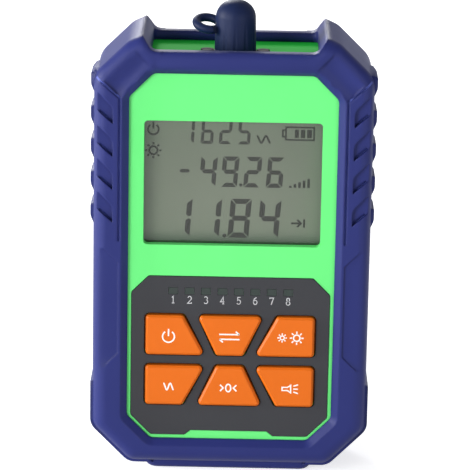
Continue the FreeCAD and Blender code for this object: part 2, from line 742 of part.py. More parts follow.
def cut_side_panels(piece):
    """Shallow flat below each grip."""
    outside, leg = D.boot_half_width + D.wall, D.side_panel_leg
    panel = [(D.side_panel_inner, D.side_panel_low + leg),
             (D.side_panel_inner + leg, D.side_panel_low), (outside, D.side_panel_low),
             (outside, D.side_panel_high), (D.side_panel_inner + leg, D.side_panel_high),
             (D.side_panel_inner, D.side_panel_high - leg)]
    front = -D.boot_half_depth
    cut(piece, "front", [panel, mirrored(panel)], front, front + D.side_panel_depth)


def cut_scoops(piece):
    """Shallow round valley across each upper corner of the display side."""
    scoop = piece.newObject("PartDesign::SubtractiveCylinder", "boot_scoop")
    bind(scoop, "Radius", D.scoop_radius)
    bind(scoop, "Height", D.scoop_length)
    axis_y = D.scoop_depth - D.scoop_radius - D.boot_half_depth
    scoop.Placement = FreeCAD.Placement(
        FreeCAD.Vector(D.scoop_x.value, axis_y.value, D.scoop_z.value),
        FreeCAD.Rotation(FreeCAD.Vector(0, 1, 0), -D.scoop_angle.value))
    finish_feature(piece, scoop, False)
    mirror(piece, [scoop], False)


def cut_rim(piece):
    """Low rim between the horns, and the well inside it over the fibre port."""
    rise = D.horn_top - D.rim_top
    lean = D.horn_reach - D.rim_half_width
    cut(piece, "front", [both_sides([
        (D.rim_half_width, D.rim_top, D.rim_round),
        (D.rim_half_width + lean * 2, D.rim_top + rise * 2)])],
        -D.boot_half_depth, D.boot_half_depth)
    spare = D.rubber_fit
    front, top = -D.boot_half_depth, D.rim_top
    low, inner = top - D.rim_edge_round - spare, front + D.rim_edge_round + spare
    edge = [(front - spare, low), (front, low), (front, top, D.rim_edge_round), (inner, top),
            (inner, top + spare), (front - spare, top + spare)]
    half = D.rim_half_width - D.rim_round
    cut(piece, "side", [edge, mirrored(edge)], -half, half)


def cut_window(piece):
    """Window over the display and keys, with a sloping lip."""
    front = -D.boot_half_depth
    cut(piece, "front", [window_outline()], front, -D.housing_front)
    side, high = D.window_half_width.value, D.window_top.value
    lip = dress(piece, "Chamfer", D.bevel_depth, lambda p: (
        near(p.y, front) and abs(p.x) < side + 0.1 and p.z < high + 0.1
        and p.z > D.window_bottom.value - 0.1))
    lip.ChamferType = "Two distances"
    bind(lip, "Size", D.bevel_depth)
    bind(lip, "Size2", D.bevel_width)
    DOC.recompute()


# ---- housing ----

def boss_places():
    """Middles of the four housing screws."""
    return [(side * D.boss_x, height) for side in (-1, 1)
            for height in (D.boss_low, D.boss_high)]


def post_places():
    """Middles of the four board screws."""
    return [(side * D.post_x, height) for side in (-1, 1)
            for height in (D.post_low, D.post_high)]


def make_front_housing():
    """Front shell: display opening, panel recess, key and lamp openings, bosses and posts."""
    piece = new_body("front_housing")
    front, inner = -D.housing_front, -D.housing_front + D.front_wall
    pad(piece, "front", [housing_outline()], front, D.parting)
    cut(piece, "front", [housing_outline(-D.wall)], inner, D.parting)
    pad(piece, "front", [(place, D.boss_radius) for place in boss_places()], inner, D.parting)
    cut(piece, "front", [(place, D.boss_bore) for place in boss_places()], inner, D.parting)
    pad(piece, "front", [(place, D.post_radius) for place in post_places()],
        inner, -D.board_front)
    cut(piece, "front", [(place, D.post_bore) for place in post_places()],
        inner, -D.board_front)
    cut(piece, "front", [box_outline(-D.display_half_width, D.display_half_width,
                                     D.display_bottom, D.display_top, D.display_round)],
        front, inner)
    cut(piece, "front", [panel_outline(D.rubber_fit)], front, front + D.panel_recess)
    cut(piece, "front", key_outlines(D.key_gap), front, inner)
    lamp_row(piece, front, inner, D.lamp_fit)
    cut_port_seat(piece)
    cut_jack_mouth(piece)
    return piece


def cut_port_seat(piece):
    """Half of the seat for the fibre port in the top wall."""
    low = D.housing_top - D.wall
    drawing = new_sketch(piece, "top", D.housing_top + D.flange_proud)
    circle(drawing, (0, D.port_y), D.barrel_radius + D.rubber_fit)
    hole = piece.newObject("PartDesign::Pocket", piece.Name + "_port")
    hole.Profile = drawing
    bind(hole, "Length", D.wall * 2)
    finish_feature(piece, hole, False)
    outline = [(x, D.port_y + y, r) for x, y, r in flange_outline(D.rubber_fit)]
    cut(piece, "top", [outline], D.housing_top + D.flange_proud - D.port_flange_thick,
        D.housing_top + D.flange_proud)
    cut(piece, "top", [((side * D.port_screw_x, D.port_y), D.board_screw_radius)
                       for side in (-1, 1)], low, D.housing_top)


def cut_jack_mouth(piece):
    """Opening in the bottom wall where the network jack looks out."""
    gap = D.rubber_fit
    cut(piece, "top", [box_outline(-D.jack_half_width - gap, D.jack_half_width + gap,
                                   -D.jack_front - gap, D.jack_back + gap)],
        D.housing_bottom, D.housing_bottom + D.wall)


def make_rear_housing():
    """Rear shell with the battery tub, the door opening and the screw holes."""
    piece = new_body("rear_housing")
    back, inner = D.housing_back, D.housing_back - D.wall
    floor_under = D.bay_floor - D.bay_floor_thick
    tub_side = D.door_half_width + D.door_gap + D.pivot_reach + D.tub_wall
    pad(piece, "front", [housing_outline()], D.parting, back)
    cut(piece, "front", [housing_outline(-D.wall)], D.parting, inner)
    pad(piece, "front", [box_outline(-tub_side, tub_side, D.door_low - D.door_gap - D.tub_wall,
                                     D.door_high + D.door_gap + D.tub_wall)],
        floor_under, inner)
    pad(piece, "front", [(place, D.boss_radius) for place in boss_places()],
        D.parting, inner)
    cut(piece, "front", [(place, D.screw_radius + D.rubber_fit) for place in boss_places()],
        D.parting, back)
    cut(piece, "front", [(place, D.screw_head + D.rubber_fit) for place in boss_places()],
        back - D.screw_head_thick, back)
    side = D.door_half_width + D.door_gap
    cut(piece, "front", [box_outline(-side, side, D.door_low - D.door_gap,
                                     D.door_high + D.door_gap)],
        back - D.door_thick, back)
    cut(piece, "front", [box_outline(-D.bay_half, D.bay_half, D.bay_bottom, D.bay_top)],
        D.bay_floor, back - D.door_thick)
    cut(piece, "front", [box_outline(-side, side, D.door_low - D.door_gap,
                                     D.pivot_z + D.door_bead + D.door_gap)],
        D.pivot_y - D.door_bead - D.door_gap, back - D.door_thick)
    reach = side + D.pivot_reach
    cut(piece, "side", [((D.pivot_y, D.pivot_z), D.pivot_radius + D.pivot_fit)], -reach, reach)
    cut_port_seat(piece)
    cut_jack_mouth(piece)
    return piece


# ---- keypad ----

def make_keypad_panel():
    """Flat panel set into the front shell, open for six keys and eight indicators."""
    piece = new_body("keypad_panel")
    front = -D.housing_front - D.panel_proud
    back = -D.housing_front + D.panel_recess
    pad(piece, "front", [panel_outline()], front, back)
    cut(piece, "front", key_outlines(D.key_gap), front, back)
    lamp_row(piece, front, back, D.lamp_fit)
    return piece


def key_middle(column, row):
    """Middle of a key's switch."""
    side_x = D.key_outer - (D.side_key_long + D.side_key_short) * HALF * HALF
    return (column * side_x,
            D.key_row_low + D.key_row_pitch * row + D.key_height * HALF)


def flange_front():
    """Front of the key flanges, just behind the front wall."""
    return -D.housing_front + D.front_wall + D.stop_gap


def plunger_front():
    """Front end of the switch plungers."""
    return -D.board_front - D.switch_height - D.plunger_proud


def make_key(name, column, row):
    """Bevelled key with a holding flange behind the wall and a stem to its switch."""
    piece = new_body("key_" + name)
    face = -D.housing_front - D.panel_proud - D.key_proud
    flange = flange_front()
    pad(piece, "front", [key_outline(column, row)], face, flange)
    dress(piece, "Chamfer", D.key_bevel, lambda p: near(p.y, face))
    pad(piece, "front", [key_outline(column, row, D.flange_lip)],
        flange, flange + D.flange_thick)
    pad(piece, "front", [(key_middle(column, row), D.stem_radius)],
        flange + D.flange_thick, plunger_front())
    return piece


def make_plunger(name, column, row):
    """Moving button of one push switch."""
    piece = new_body("plunger_" + name)
    pad(piece, "front", [(key_middle(column, row), D.plunger_radius)],
        plunger_front(), -D.board_front - D.switch_height + D.plunger_depth)
    return piece


def make_switch_bodies():
    """Six push switches on the board, each with the well of its plunger."""
    piece = new_body("switch_bodies")
    middles = [key_middle(column, row) for column, row in KEY_NAMES.values()]
    half = D.switch_size * HALF
    front = -D.board_front - D.switch_height
    outlines = [box_outline(x - half, x + half, z - half, z + half, D.plunger_gap * 5)
                for x, z in ((size(a), size(b)) for a, b in middles)]
    pad(piece, "front", outlines, front, -D.board_front)
    cut(piece, "front", [((x, z), D.plunger_radius + D.plunger_gap) for x, z in middles],
        front, front + D.plunger_depth + D.key_travel + D.plunger_gap)
    return piece


def make_indicator_guides():
    """Eight light guides through the panel and the front wall."""
    piece = new_body("indicator_guides")
    lamp_row(piece, -D.housing_front - D.panel_proud, -D.guide_end, 0, "Pad")
    return piece


def make_indicator_leds():
    """Eight small lamps on the board, one behind each guide."""
    piece = new_body("indicator_leds")
    lamp_row(piece, -D.board_front - D.led_thick, -D.board_front, 0, "Pad")
    return piece


# ---- display ----

def lens_front():
    """Front of the display lens, against the inside of the front wall."""
    return -D.housing_front + D.front_wall


def glass_front():
    """Front of the liquid-crystal cell."""
    return lens_front() + D.lens_thick + D.glass_gap


def make_display_lens():
    """Clear plate behind the display opening."""
    piece = new_body("display_lens")
    pad(piece, "front", [box_outline(
        -D.display_half_width - D.lens_lip, D.display_half_width + D.lens_lip,
        D.display_bottom - D.lens_lip, D.display_top + D.lens_lip, D.display_round)],
        lens_front(), lens_front() + D.lens_thick)
    return piece


def make_display_cell():
    """Liquid-crystal cell: two glasses, the rear one longer for its contacts."""
    piece = new_body("display_cell")
    side = D.display_half_width + D.lens_lip * HALF
    low, high = D.display_bottom - D.lens_lip * HALF, D.display_top + D.lens_lip * HALF
    front = glass_front()
    pad(piece, "front", [box_outline(-side, side, low, high)], front, front + D.glass_thick)
    pad(piece, "front", [box_outline(-side, side, low - D.glass_ledge, high)],
        front + D.glass_thick, front + D.glass_thick * 2)
    return piece


def make_backlight():
    """Light guide behind the liquid-crystal cell."""
    piece = new_body("display_backlight")
    side = D.display_half_width + D.lens_lip * HALF
    front = glass_front() + D.glass_thick * 2
    pad(piece, "front", [box_outline(-side, side, D.display_bottom, D.display_top)],
        front, -D.board_front)
    return piece


def make_display_frame():
    """Frame that holds the display against the board."""
    piece = new_body("display_frame")
    side = D.display_half_width + D.lens_lip * HALF + D.glass_gap
    low = D.display_bottom - D.lens_lip * HALF - D.glass_ledge - D.glass_gap
    high = D.display_top + D.lens_lip * HALF + D.glass_gap
    wall = D.frame_wall
    pad(piece, "front", [box_outline(-side - wall, side + wall, low - wall, high + wall,
                                     D.display_round)],
        glass_front(), -D.board_front)
    cut(piece, "front", [box_outline(-side, side, low, high)],
        glass_front(), -D.board_front)
    return piece


def make_contact_strip():
    """Rubber strip that joins the display's ledge to the board."""
    piece = new_body("display_strip")
    side = D.display_half_width
    high = D.display_bottom - D.lens_lip * HALF - D.glass_gap
    pad(piece, "front", [box_outline(-side, side, high - D.strip_thick, high)],
        glass_front() + D.glass_thick * 2, -D.board_front)
    return piece


# ---- board ----

def board_back():
    """Back face of the main board."""
    return -D.board_front + D.board_thick


def make_main_board():
    """Printed board, narrowed beside the bosses and notched round the port."""
    piece = new_body("main_board")
    pad(piece, "front", [both_sides([
        (D.board_neck, D.board_bottom), (D.board_neck, D.board_neck_low),
        (D.board_half_width, D.board_neck_low), (D.board_half_width, D.board_neck_high),
        (D.board_neck, D.board_neck_high), (D.board_neck, D.board_top),
        (D.port_notch, D.board_top), (D.port_notch, D.port_notch_low)])],
        -D.board_front, board_back())
    cut(piece, "front", [(place, D.board_screw_radius + D.rubber_fit)
                         for place in post_places()], -D.board_front, board_back())
    return piece


# Parts on the back of the board: middle x, middle below the board's top, width, height
# and thickness.
CHIPS = ((-6.0, 38.6, 12.0, 12.0, 1.4), (9.0, 38.6, 5.0, 6.2, 1.5),
         (-8.0, 14.6, 5.0, 4.0, 1.5), (12.0, 16.6, 7.0, 3.0, 1.2))


def make_board_chips():
    """The processor, the amplifier and two small parts on the back of the board."""
    back, top = board_back().value, D.board_top.value
    shapes = [Part.makeBox(wide, thick, high,
                           FreeCAD.Vector(x - wide * HALF, back, top - drop - high * HALF))
              for x, drop, wide, high, thick in CHIPS]
    return group("board_chips", shapes)


def turned_screw(radius, head, head_thick, length, socket):
    """Screw along Y with a flat head at its +Y end and a cross socket."""
    axis = FreeCAD.Vector(0, -1, 0)
    shank = Part.makeCylinder(radius, length, FreeCAD.Vector(0, 0, 0), axis)
    cap = Part.makeCylinder(head, head_thick, FreeCAD.Vector(0, head_thick, 0), axis)
    screw = shank.fuse(cap)
    for wide, high in ((socket * 2, socket * 0.5), (socket * 0.5, socket * 2)):
        slot = Part.makeBox(wide, head_thick * 0.6, high,
                            FreeCAD.Vector(-wide / 2, head_thick * 0.4, -high / 2))
        screw = screw.cut(slot)
    return screw


def make_housing_screws():
    """Four screws from the back, under the boot, into the front bosses."""
    level = D.housing_back - D.screw_head_thick
    screw = turned_screw(D.screw_radius.value, D.screw_head.value, D.screw_head_thick.value,
                         (level - D.parting + D.screw_length * HALF).value,
                         D.socket_radius.value)
    return group("housing_screws", [at(screw, x, level, z) for x, z in boss_places()])


def make_board_screws():
    """Four screws that hold the board to the posts."""
    screw = turned_screw(D.board_screw_radius.value, D.board_screw_head.value,
                         D.board_screw_radius.value, D.board_screw_length.value,
                         D.board_screw_radius.value)
    return group("board_screws", [at(screw, x, board_back(), z) for x, z in post_places()])


# ---- fibre port ----

def make_port_adapter():
    """Threaded port with its rhombic flange, keyway and detector barrel, one turned part."""
    piece = new_body("port_adapter")
    flange_top = D.housing_top + D.flange_proud
    flange_low = flange_top - D.port_flange_thick
    revolve(piece, [(D.sleeve_radius, D.barrel_low), (D.barrel_radius, D.barrel_low),
                    (D.barrel_radius, flange_low), (D.thread_radius, flange_low),
                    (D.thread_radius, D.thread_top - D.cap_headroom),
                    (D.thread_radius - D.cap_headroom, D.thread_top),
                    (D.thread_bore, D.thread_top), (D.thread_bore, flange_top),
                    (D.sleeve_radius, flange_top)])
    pad(piece, "top", [flange_outline()], flange_low, flange_top)
    cut(piece, "top", [((0, 0), D.sleeve_radius)], flange_low, flange_top)
    cut(piece, "top", [((side * D.port_screw_x, 0), D.board_screw_radius + D.rubber_fit)
                       for side in (-1, 1)], flange_low, flange_top)
    half_key = D.keyway_width * HALF
    cut(piece, "top", [box_outline(-half_key, half_key, D.sleeve_radius,
                                   D.thread_radius + D.wall)],
        D.thread_top - D.keyway_depth, D.thread_top)
    move_body(piece, y=D.port_y)
    return piece


def make_ferrule_sleeve():
    """Slit ceramic sleeve that lines up the fibre's ferrule."""
    piece = new_body("ferrule_sleeve")
    revolve(piece, [(D.sleeve_bore, D.sleeve_low), (D.sleeve_radius, D.sleeve_low),
                    (D.sleeve_radius, D.sleeve_top), (D.sleeve_bore, D.sleeve_top)])
    half = D.sleeve_slit * HALF
    cut(piece, "top", [box_outline(-half, half, D.sleeve_bore * HALF,
                                   D.sleeve_radius + D.wall)], D.sleeve_low, D.sleeve_top)
    move_body(piece, y=D.port_y)
    return piece


def make_detector():
    """Photodiode can pressed against the barrel, with three leads."""
    piece = new_body("port_detector")
    low = D.barrel_low - D.detector_length
    rim = D.detector_radius + D.cap_headroom
    revolve(piece, [(0, low), (rim, low), (rim, low + D.cap_headroom * 2),
                    (D.detector_radius, low + D.cap_headroom * 2),
                    (D.detector_radius, D.barrel_low), (0, D.barrel_low)])
    spread = D.detector_radius * HALF
    pad(piece, "top", [((-spread, 0), D.detector_pin), ((spread, 0), D.detector_pin),
                       ((0, spread), D.detector_pin)], low - D.detector_length, low)
    move_body(piece, y=D.port_y)
    return piece


def make_port_screws():
    """Two screws that hold the flange to the top of the housing."""
    shapes = []
    radius, reach = D.board_screw_radius.value, (D.port_flange_thick + D.wall).value
    for side in (-1, 1):
        screw = Part.makeCylinder(radius, reach, FreeCAD.Vector(0, 0, -reach))
        head = Part.makeCylinder(D.board_screw_head.value, radius * 0.8)
        slot = Part.makeBox(D.board_screw_head.value * 2, radius * 0.5, radius,
                            FreeCAD.Vector(-D.board_screw_head.value, -radius * 0.25,
                                           radius * 0.4))
        shapes.append(at(screw.fuse(head).cut(slot), side * D.port_screw_x, D.port_y,
                         D.housing_top + D.flange_proud))
    return group("port_screws", shapes)


def make_dust_cap():
    """Rubber cap that pulls off the port: fluted wall, domed end and a side ring."""
    piece = new_body("dust_cap")
    bore = D.thread_radius + D.cap_fit
    dome = D.cap_top - D.cap_shoulder
    revolve(piece, [(0, D.cap_base), (D.cap_radius, D.cap_base),
                    (D.cap_neck_radius, D.cap_shoulder),
                    (D.cap_neck_radius, D.cap_top, dome - D.stop_gap), (0, D.cap_top)])
    cut(piece, "top", [((0, 0), bore)], D.cap_base, D.thread_top + D.cap_headroom)
    ring = piece.newObject("PartDesign::AdditiveTorus", "dust_cap_ring")
    bind(ring, "Radius1", D.ring_radius)
    bind(ring, "Radius2", D.ring_wire)
    tilt = FreeCAD.Rotation(FreeCAD.Vector(0, 1, 0), D.ring_roll.value).multiply(
        FreeCAD.Rotation(FreeCAD.Vector(1, 0, 0), D.ring_pitch.value))
    ring.Placement = FreeCAD.Placement(
        FreeCAD.Vector(-D.ring_offset.value, 0, D.ring_z.value), tilt)
    finish_feature(piece, ring, True)
    cut(piece, "top", [((0, 0), bore)], D.cap_base, D.thread_top + D.cap_headroom)
    flute = cut(piece, "top", [((0, D.cap_radius + D.flute_radius - D.flute_depth),
                                D.flute_radius)], D.cap_base, D.cap_shoulder - D.flute_radius)
    pattern(piece, "PolarPattern", [flute], False, Axis=(plane_of(piece, "Z_Axis"), [""]),
            Occurrences=int(D.flute_count.value), Angle=360)
    move_body(piece, y=D.port_y)
    return piece


# ---- network jack ----

def make_network_jack():
    """Eight-way modular jack, its mouth downward in the foot."""
    piece = new_body("network_jack")
    pad(piece, "top", [box_outline(-D.jack_half_width, D.jack_half_width,
                                   -D.jack_front, D.jack_back)], D.jack_low, D.jack_top)
    plug_front = D.plug_front - D.jack_front + D.jack_gap
    plug_back = plug_front + D.plug_height
    top = D.jack_low + D.plug_depth
    cut(piece, "top", [box_outline(-D.plug_half_width, D.plug_half_width,
                                   plug_front, plug_back)], D.jack_low, top)
    cut(piece, "top", [box_outline(-D.latch_half_width, D.latch_half_width,
                                   plug_back, plug_back + D.latch_height)],
        D.jack_low, top)
    return piece


def make_network_contacts():
    """Eight spring contacts that lean into the jack."""
    piece = new_body("network_contacts")
    half_row = D.contact_pitch * (D.contact_count - 1) * HALF
    half = D.contact_width * HALF
    front = D.plug_front - D.jack_front + D.jack_gap
    top = D.jack_low + D.plug_depth
    thick = D.contact_thick
    first = pad(piece, "side", [[
        (front, top), (front, D.jack_low + D.wall), (front + thick, D.jack_low + D.wall),
        (front + thick + D.wall * HALF, top - D.wall), (front + thick + D.wall * HALF, top)]],
        -half_row - half, -half_row + half)
    row_of(piece, [first], True, "X_Axis", half_row * 2, D.contact_count)
    return piece


# ---- battery bay ----

def cell_levels(index):
    """Lower and upper end of one cell; the middle one stands the other way up."""
    upright = index != 0
    low = D.bay_bottom + D.plate_thick
    return (low + D.spring_length, upright) if upright else (low, upright)


def make_cell(index):
    """One small cylindrical cell with its raised contact."""
    piece = new_body("battery_%s" % ("left", "middle", "right")[index + 1])
    low, upright = cell_levels(index)
    body_low = low if upright else low + D.cell_button
    body_high = body_low + D.cell_length
    wide, narrow, rim = D.cell_radius, D.cell_button_radius, D.cap_headroom
    if upright:
        corners = [(0, body_low), (wide - rim, body_low), (wide, body_low + rim),
                   (wide, body_high - rim), (wide - rim, body_high), (narrow, body_high),
                   (narrow, body_high + D.cell_button), (0, body_high + D.cell_button)]
    else:
        corners = [(0, low), (narrow, low), (narrow, body_low), (wide - rim, body_low),
                   (wide, body_low + rim), (wide, body_high - rim),
                   (wide - rim, body_high), (0, body_high)]
    revolve(piece, corners)
    move_body(piece, x=index * D.cell_pitch, y=D.cell_y)
    return piece


def make_plates():
    """Contact plates at both ends of the three cells."""
    shapes = []
    for index in (-1, 0, 1):
        for low in (D.bay_bottom, D.bay_top - D.plate_thick):
            plate = Part.makeBox(D.plate_half_width.value * 2, D.plate_height.value,
                                 D.plate_thick.value)
            shapes.append(at(plate, index * D.cell_pitch - D.plate_half_width,
                             D.cell_y - D.plate_height * HALF, low))
    return group("battery_plates", shapes)


def make_springs():
    """A tapering coil spring at the flat end of each cell."""
    wire = D.spring_wire.value
    height = D.spring_length.value - 2 * wire
    helix = Part.makeHelix(height / D.spring_turns.value, height, D.spring_radius.value, 8)
    section = Part.Wire([Part.makeCircle(
        wire, FreeCAD.Vector(D.spring_radius.value, 0, 0), FreeCAD.Vector(0, 1, 0))])
    coil = Part.Wire(helix).makePipeShell([section], True, True)
    shapes = []
    for index in (-1, 0, 1):
        low, upright = cell_levels(index)
        base = (D.bay_bottom + D.plate_thick) if upright else low + D.cell_length + D.cell_button
        shapes.append(at(coil, index * D.cell_pitch, D.cell_y, base + D.spring_wire))
    return group("battery_springs", shapes)


def make_door():
    """Battery door on two pivots, with a round lower edge and a finger recess."""
    piece = new_body("battery_door")
    back, side = D.housing_back, D.door_half_width
    pad(piece, "front", [box_outline(-side, side, D.pivot_z, D.door_high)],
        back - D.door_thick, back)
    pad(piece, "side", [((D.pivot_y, D.pivot_z), D.door_bead)], -side, side)
    reach = side + D.door_gap + D.pivot_reach - D.rubber_fit
    pad(piece, "side", [((D.pivot_y, D.pivot_z), D.pivot_radius)], -reach, reach)
    cut(piece, "front", [box_outline(
        -D.finger_half_width, D.finger_half_width,
        D.door_high - D.finger_height - D.door_margin, D.door_high - D.door_margin,
        D.finger_depth)], back - D.finger_depth, back)
    return piece


# ---- build, check and write ----

PIECES = [make_boot(), make_front_housing(), make_rear_housing(), make_keypad_panel()]
for key_name, (key_column, key_row) in KEY_NAMES.items():
    PIECES.append(make_key(key_name, key_column, key_row))
    PIECES.append(make_plunger(key_name, key_column, key_row))
PIECES += [make_switch_bodies(), make_indicator_guides(), make_indicator_leds(),
           make_display_lens(), make_display_cell(), make_backlight(), make_display_frame(),
           make_contact_strip(), make_main_board(), make_board_chips(),
           make_housing_screws(), make_board_screws(), make_port_adapter(),
           make_ferrule_sleeve(), make_detector(), make_port_screws(), make_dust_cap(),
           make_network_jack(), make_network_contacts(), make_cell(-1), make_cell(0),
           make_cell(1), make_plates(), make_springs(), make_door()]
DOC.recompute()

for item in DOC.Objects:
    if "Invalid" in item.State or "Error" in item.State:
        raise RuntimeError("%s did not build: %s" % (item.Label, item.State))
for piece in PIECES:
    if piece.Shape.isNull() or not piece.Shape.isValid():
        raise RuntimeError("%s is not a valid solid" % piece.Label)

os.makedirs("parts", exist_ok=True)
for piece in PIECES:
    piece.Shape.exportStep("parts/%s.step" % piece.Label)
    print("%-20s %9.1f mm3 %3d solids" % (piece.Label, piece.Shape.Volume,
                                          len(piece.Shape.Solids)))
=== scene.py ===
"""Looks of a pocket optical power meter in its rubber boot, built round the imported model.

x runs across the meter, y from its display to its back and z up. A length is in
millimetres where it is multiplied by MM, and in metres elsewhere.
"""
import math
import bmesh
import bpy
import numpy as np
from mathutils import Matrix, Vector
from mathutils.kdtree import KDTree


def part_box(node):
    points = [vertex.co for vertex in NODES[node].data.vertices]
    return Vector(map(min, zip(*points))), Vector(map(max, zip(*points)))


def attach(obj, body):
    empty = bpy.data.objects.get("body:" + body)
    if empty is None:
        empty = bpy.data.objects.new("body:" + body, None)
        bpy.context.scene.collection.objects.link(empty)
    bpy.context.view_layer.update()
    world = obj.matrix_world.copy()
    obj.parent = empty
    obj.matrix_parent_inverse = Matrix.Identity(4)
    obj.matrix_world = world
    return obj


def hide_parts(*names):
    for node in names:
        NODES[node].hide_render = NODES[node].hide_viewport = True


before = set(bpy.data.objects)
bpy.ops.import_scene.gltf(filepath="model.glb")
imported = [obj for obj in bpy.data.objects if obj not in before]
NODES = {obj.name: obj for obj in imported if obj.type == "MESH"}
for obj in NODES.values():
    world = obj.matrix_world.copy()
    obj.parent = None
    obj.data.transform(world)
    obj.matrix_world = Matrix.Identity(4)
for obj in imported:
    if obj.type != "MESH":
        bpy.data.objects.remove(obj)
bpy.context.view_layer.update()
MM = 0.001

# Camera: place and target in millimetres, roll in degrees, focal length on a 36 mm film.
CAMERA_PLACE, CAMERA_TARGET = (3.573, -685.436, 240.664), (0.72, 0.0, 57.0)
CAMERA_ROLL, CAMERA_LENS, FILM_WIDTH = 1.04, 220.06, 36.0

# Lamps: name, place and width in metres, power in watts. All look at one point.
LAMPS = (("front_left", (-0.75, -0.85, 0.26), 0.6, 10.0),
         ("front_right", (0.8, -1.2, 0.24), 0.7, 5.6),
         ("left", (-1.1, -0.1, 0.28), 0.4, 14.0),
         ("back", (-0.25, 1.1, 0.62), 0.3, 6.5))
LAMP_TARGET = (0.0, 0.0, 0.06)

# Surroundings: brightness as a light and as seen, and the share seen by a mirrored ray.
DIM, BRIGHT, MIRRORED = 0.34, 0.9, 0.55
FLOOR_REACH, FLOOR_GLOW = 3.0, 0.68

# Groove round the boot's grips, in millimetres: |x| of its upright line, the height where
# it turns outwards, and its rise there for each millimetre of x.
GROOVE_X, GROOVE_TOP, GROOVE_SLOPE = 27.35, 94.4, 0.848


# ---- objects ----

def place_object(name, data):
    """New object in the scene for a mesh, a lamp or a camera."""
    thing = bpy.data.objects.new(name, data)
    bpy.context.scene.collection.objects.link(thing)
    return thing


def aim(thing, place, target, roll=0.0):
    """Place something that looks along its own -Z at a target, rolled about that line."""
    back = (Vector(place) - Vector(target)).normalized()
    right = Vector((0, 0, 1)).cross(back).normalized()
    up = back.cross(right)
    turned_right = right * math.cos(roll) + up * math.sin(roll)
    turned_up = up * math.cos(roll) - right * math.sin(roll)
    rows = Matrix((turned_right, turned_up, back)).transposed().to_4x4()
    thing.matrix_world = Matrix.Translation(Vector(place)) @ rows


# ---- shader nodes ----

class Value:
    """A node's number output. Arithmetic on it, with numbers or others, adds Math nodes."""

    def __init__(self, finish, socket):
        self.finish, self.socket = finish, socket

    def _maths(self, operation, *terms):
        return self.finish.node("ShaderNodeMath", dict(enumerate(terms)), operation=operation)

    def __add__(self, other):
        return self._maths("ADD", self, other)

    def __sub__(self, other):
        return self._maths("SUBTRACT", self, other)

    def __rsub__(self, other):
        return self._maths("SUBTRACT", other, self)

    def __mul__(self, other):
        return self._maths("MULTIPLY", self, other)

    def __truediv__(self, other):
        return self._maths("DIVIDE", self, other)

    def __abs__(self):
        return self._maths("ABSOLUTE", self)

    __radd__, __rmul__ = __add__, __mul__


class Finish:
    """One material, or the world, and the ways to add nodes to it."""

    def __init__(self, name, world=None):
        self.material = world or bpy.data.materials.new(name)
        self.material.use_nodes = True
        self.tree = self.material.node_tree
        self.tree.nodes.clear()
        self.place = self.node("ShaderNodeTexCoord", out="Object")

    def node(self, kind, inputs=None, out=0, **settings):
        """Add a node: its settings first, then its sockets; gives the chosen output."""
        node = self.tree.nodes.new(kind)
        for key, setting in settings.items():
            setattr(node, key, setting)
        for key, given in (inputs or {}).items():
            if isinstance(given, Value):
                self.tree.links.new(given.socket, node.inputs[key])
            else:
                node.inputs[key].default_value = given
        return Value(self, node.outputs[out]) if len(node.outputs) else node

    def along(self, axis):
        """One coordinate of the place on the object, in metres."""
        return self.node("ShaderNodeSeparateXYZ", {0: self.place}, "XYZ"[axis])

    def noise(self, scale, detail=3.0, stretch=None):
        """Cloudy noise from 0 to 1, with scale cells to the metre."""
        place = self.place
        if stretch:
            place = self.node("ShaderNodeMapping", {0: place, "Scale": stretch})
        return self.node("ShaderNodeTexNoise",
                         {"Vector": place, "Scale": scale, "Detail": detail})

    def step(self, amount, low, high):
        """Smooth rise from 0 at low to 1 at high."""
        return self.node("ShaderNodeMapRange", {0: amount, 1: low, 2: high},
                         interpolation_type="SMOOTHSTEP")

    def band(self, amount, low, high):
        """1 between low and high and 0 outside, with edges a twentieth of a millimetre soft."""
        soft = 0.00005
        return self.step(amount, low - soft, low) * (1.0 - self.step(amount, high, high + soft))

    def mix(self, first, second, share):
        """First colour at share 0, second at share 1."""
        return self.node("ShaderNodeMix", {0: share, 6: first, 7: second}, 2,
                         data_type="RGBA")

    def relief(self, height, depth, strength=1.0, under=None):
        """Surface bumps from a height of 0 to 1 over a depth in metres."""
        inputs = {"Height": height, "Distance": depth, "Strength": strength}
        if under is not None:
            inputs["Normal"] = under
        return self.node("ShaderNodeBump", inputs)

    def seen(self, gloss=1.0):
        """1 for what the camera or a clear piece looks at, gloss for a mirrored ray, else 0."""
        rays = [self.node("ShaderNodeLightPath", out="Is %s Ray" % kind)
                for kind in ("Camera", "Glossy", "Transmission")]
        return rays[0] + rays[1] * gloss + rays[2]

    def softened(self, radius):
        """Surface direction with the edges rounded over a radius in metres."""
        return self.node("ShaderNodeBevel", {"Radius": radius}, samples=6)

    def surface(self, **sockets):
        """Finish with one Principled shader; underscores stand for spaces."""
        inputs = {key.replace("_", " "): given for key, given in sockets.items()}
        shader = self.node("ShaderNodeBsdfPrincipled", inputs)
        self.show(shader)
        return self.material

    def show(self, shader):
        """Send a shader to the material's output."""
        self.node("ShaderNodeOutputMaterial", {"Surface": shader})


def tone(red, green, blue):
    """Linear colour from one written in 0-255 display values."""
    def straight(level):
        level /= 255.0
        return level / 12.92 if level <= 0.04045 else ((level + 0.055) / 1.055) ** 2.4
    return (straight(red), straight(green), straight(blue), 1.0)


# ---- camera, floor and light ----

def make_camera():
    """Long lens from the display side, a little above the meter."""
    data = bpy.data.cameras.new("meter_view")
    data.lens, data.sensor_width = CAMERA_LENS, FILM_WIDTH
    data.clip_start, data.clip_end = 0.01, 20.0
    camera = place_object("meter_view", data)
    aim(camera, np.array(CAMERA_PLACE) * MM, np.array(CAMERA_TARGET) * MM,
        math.radians(CAMERA_ROLL))
    bpy.context.scene.camera = camera


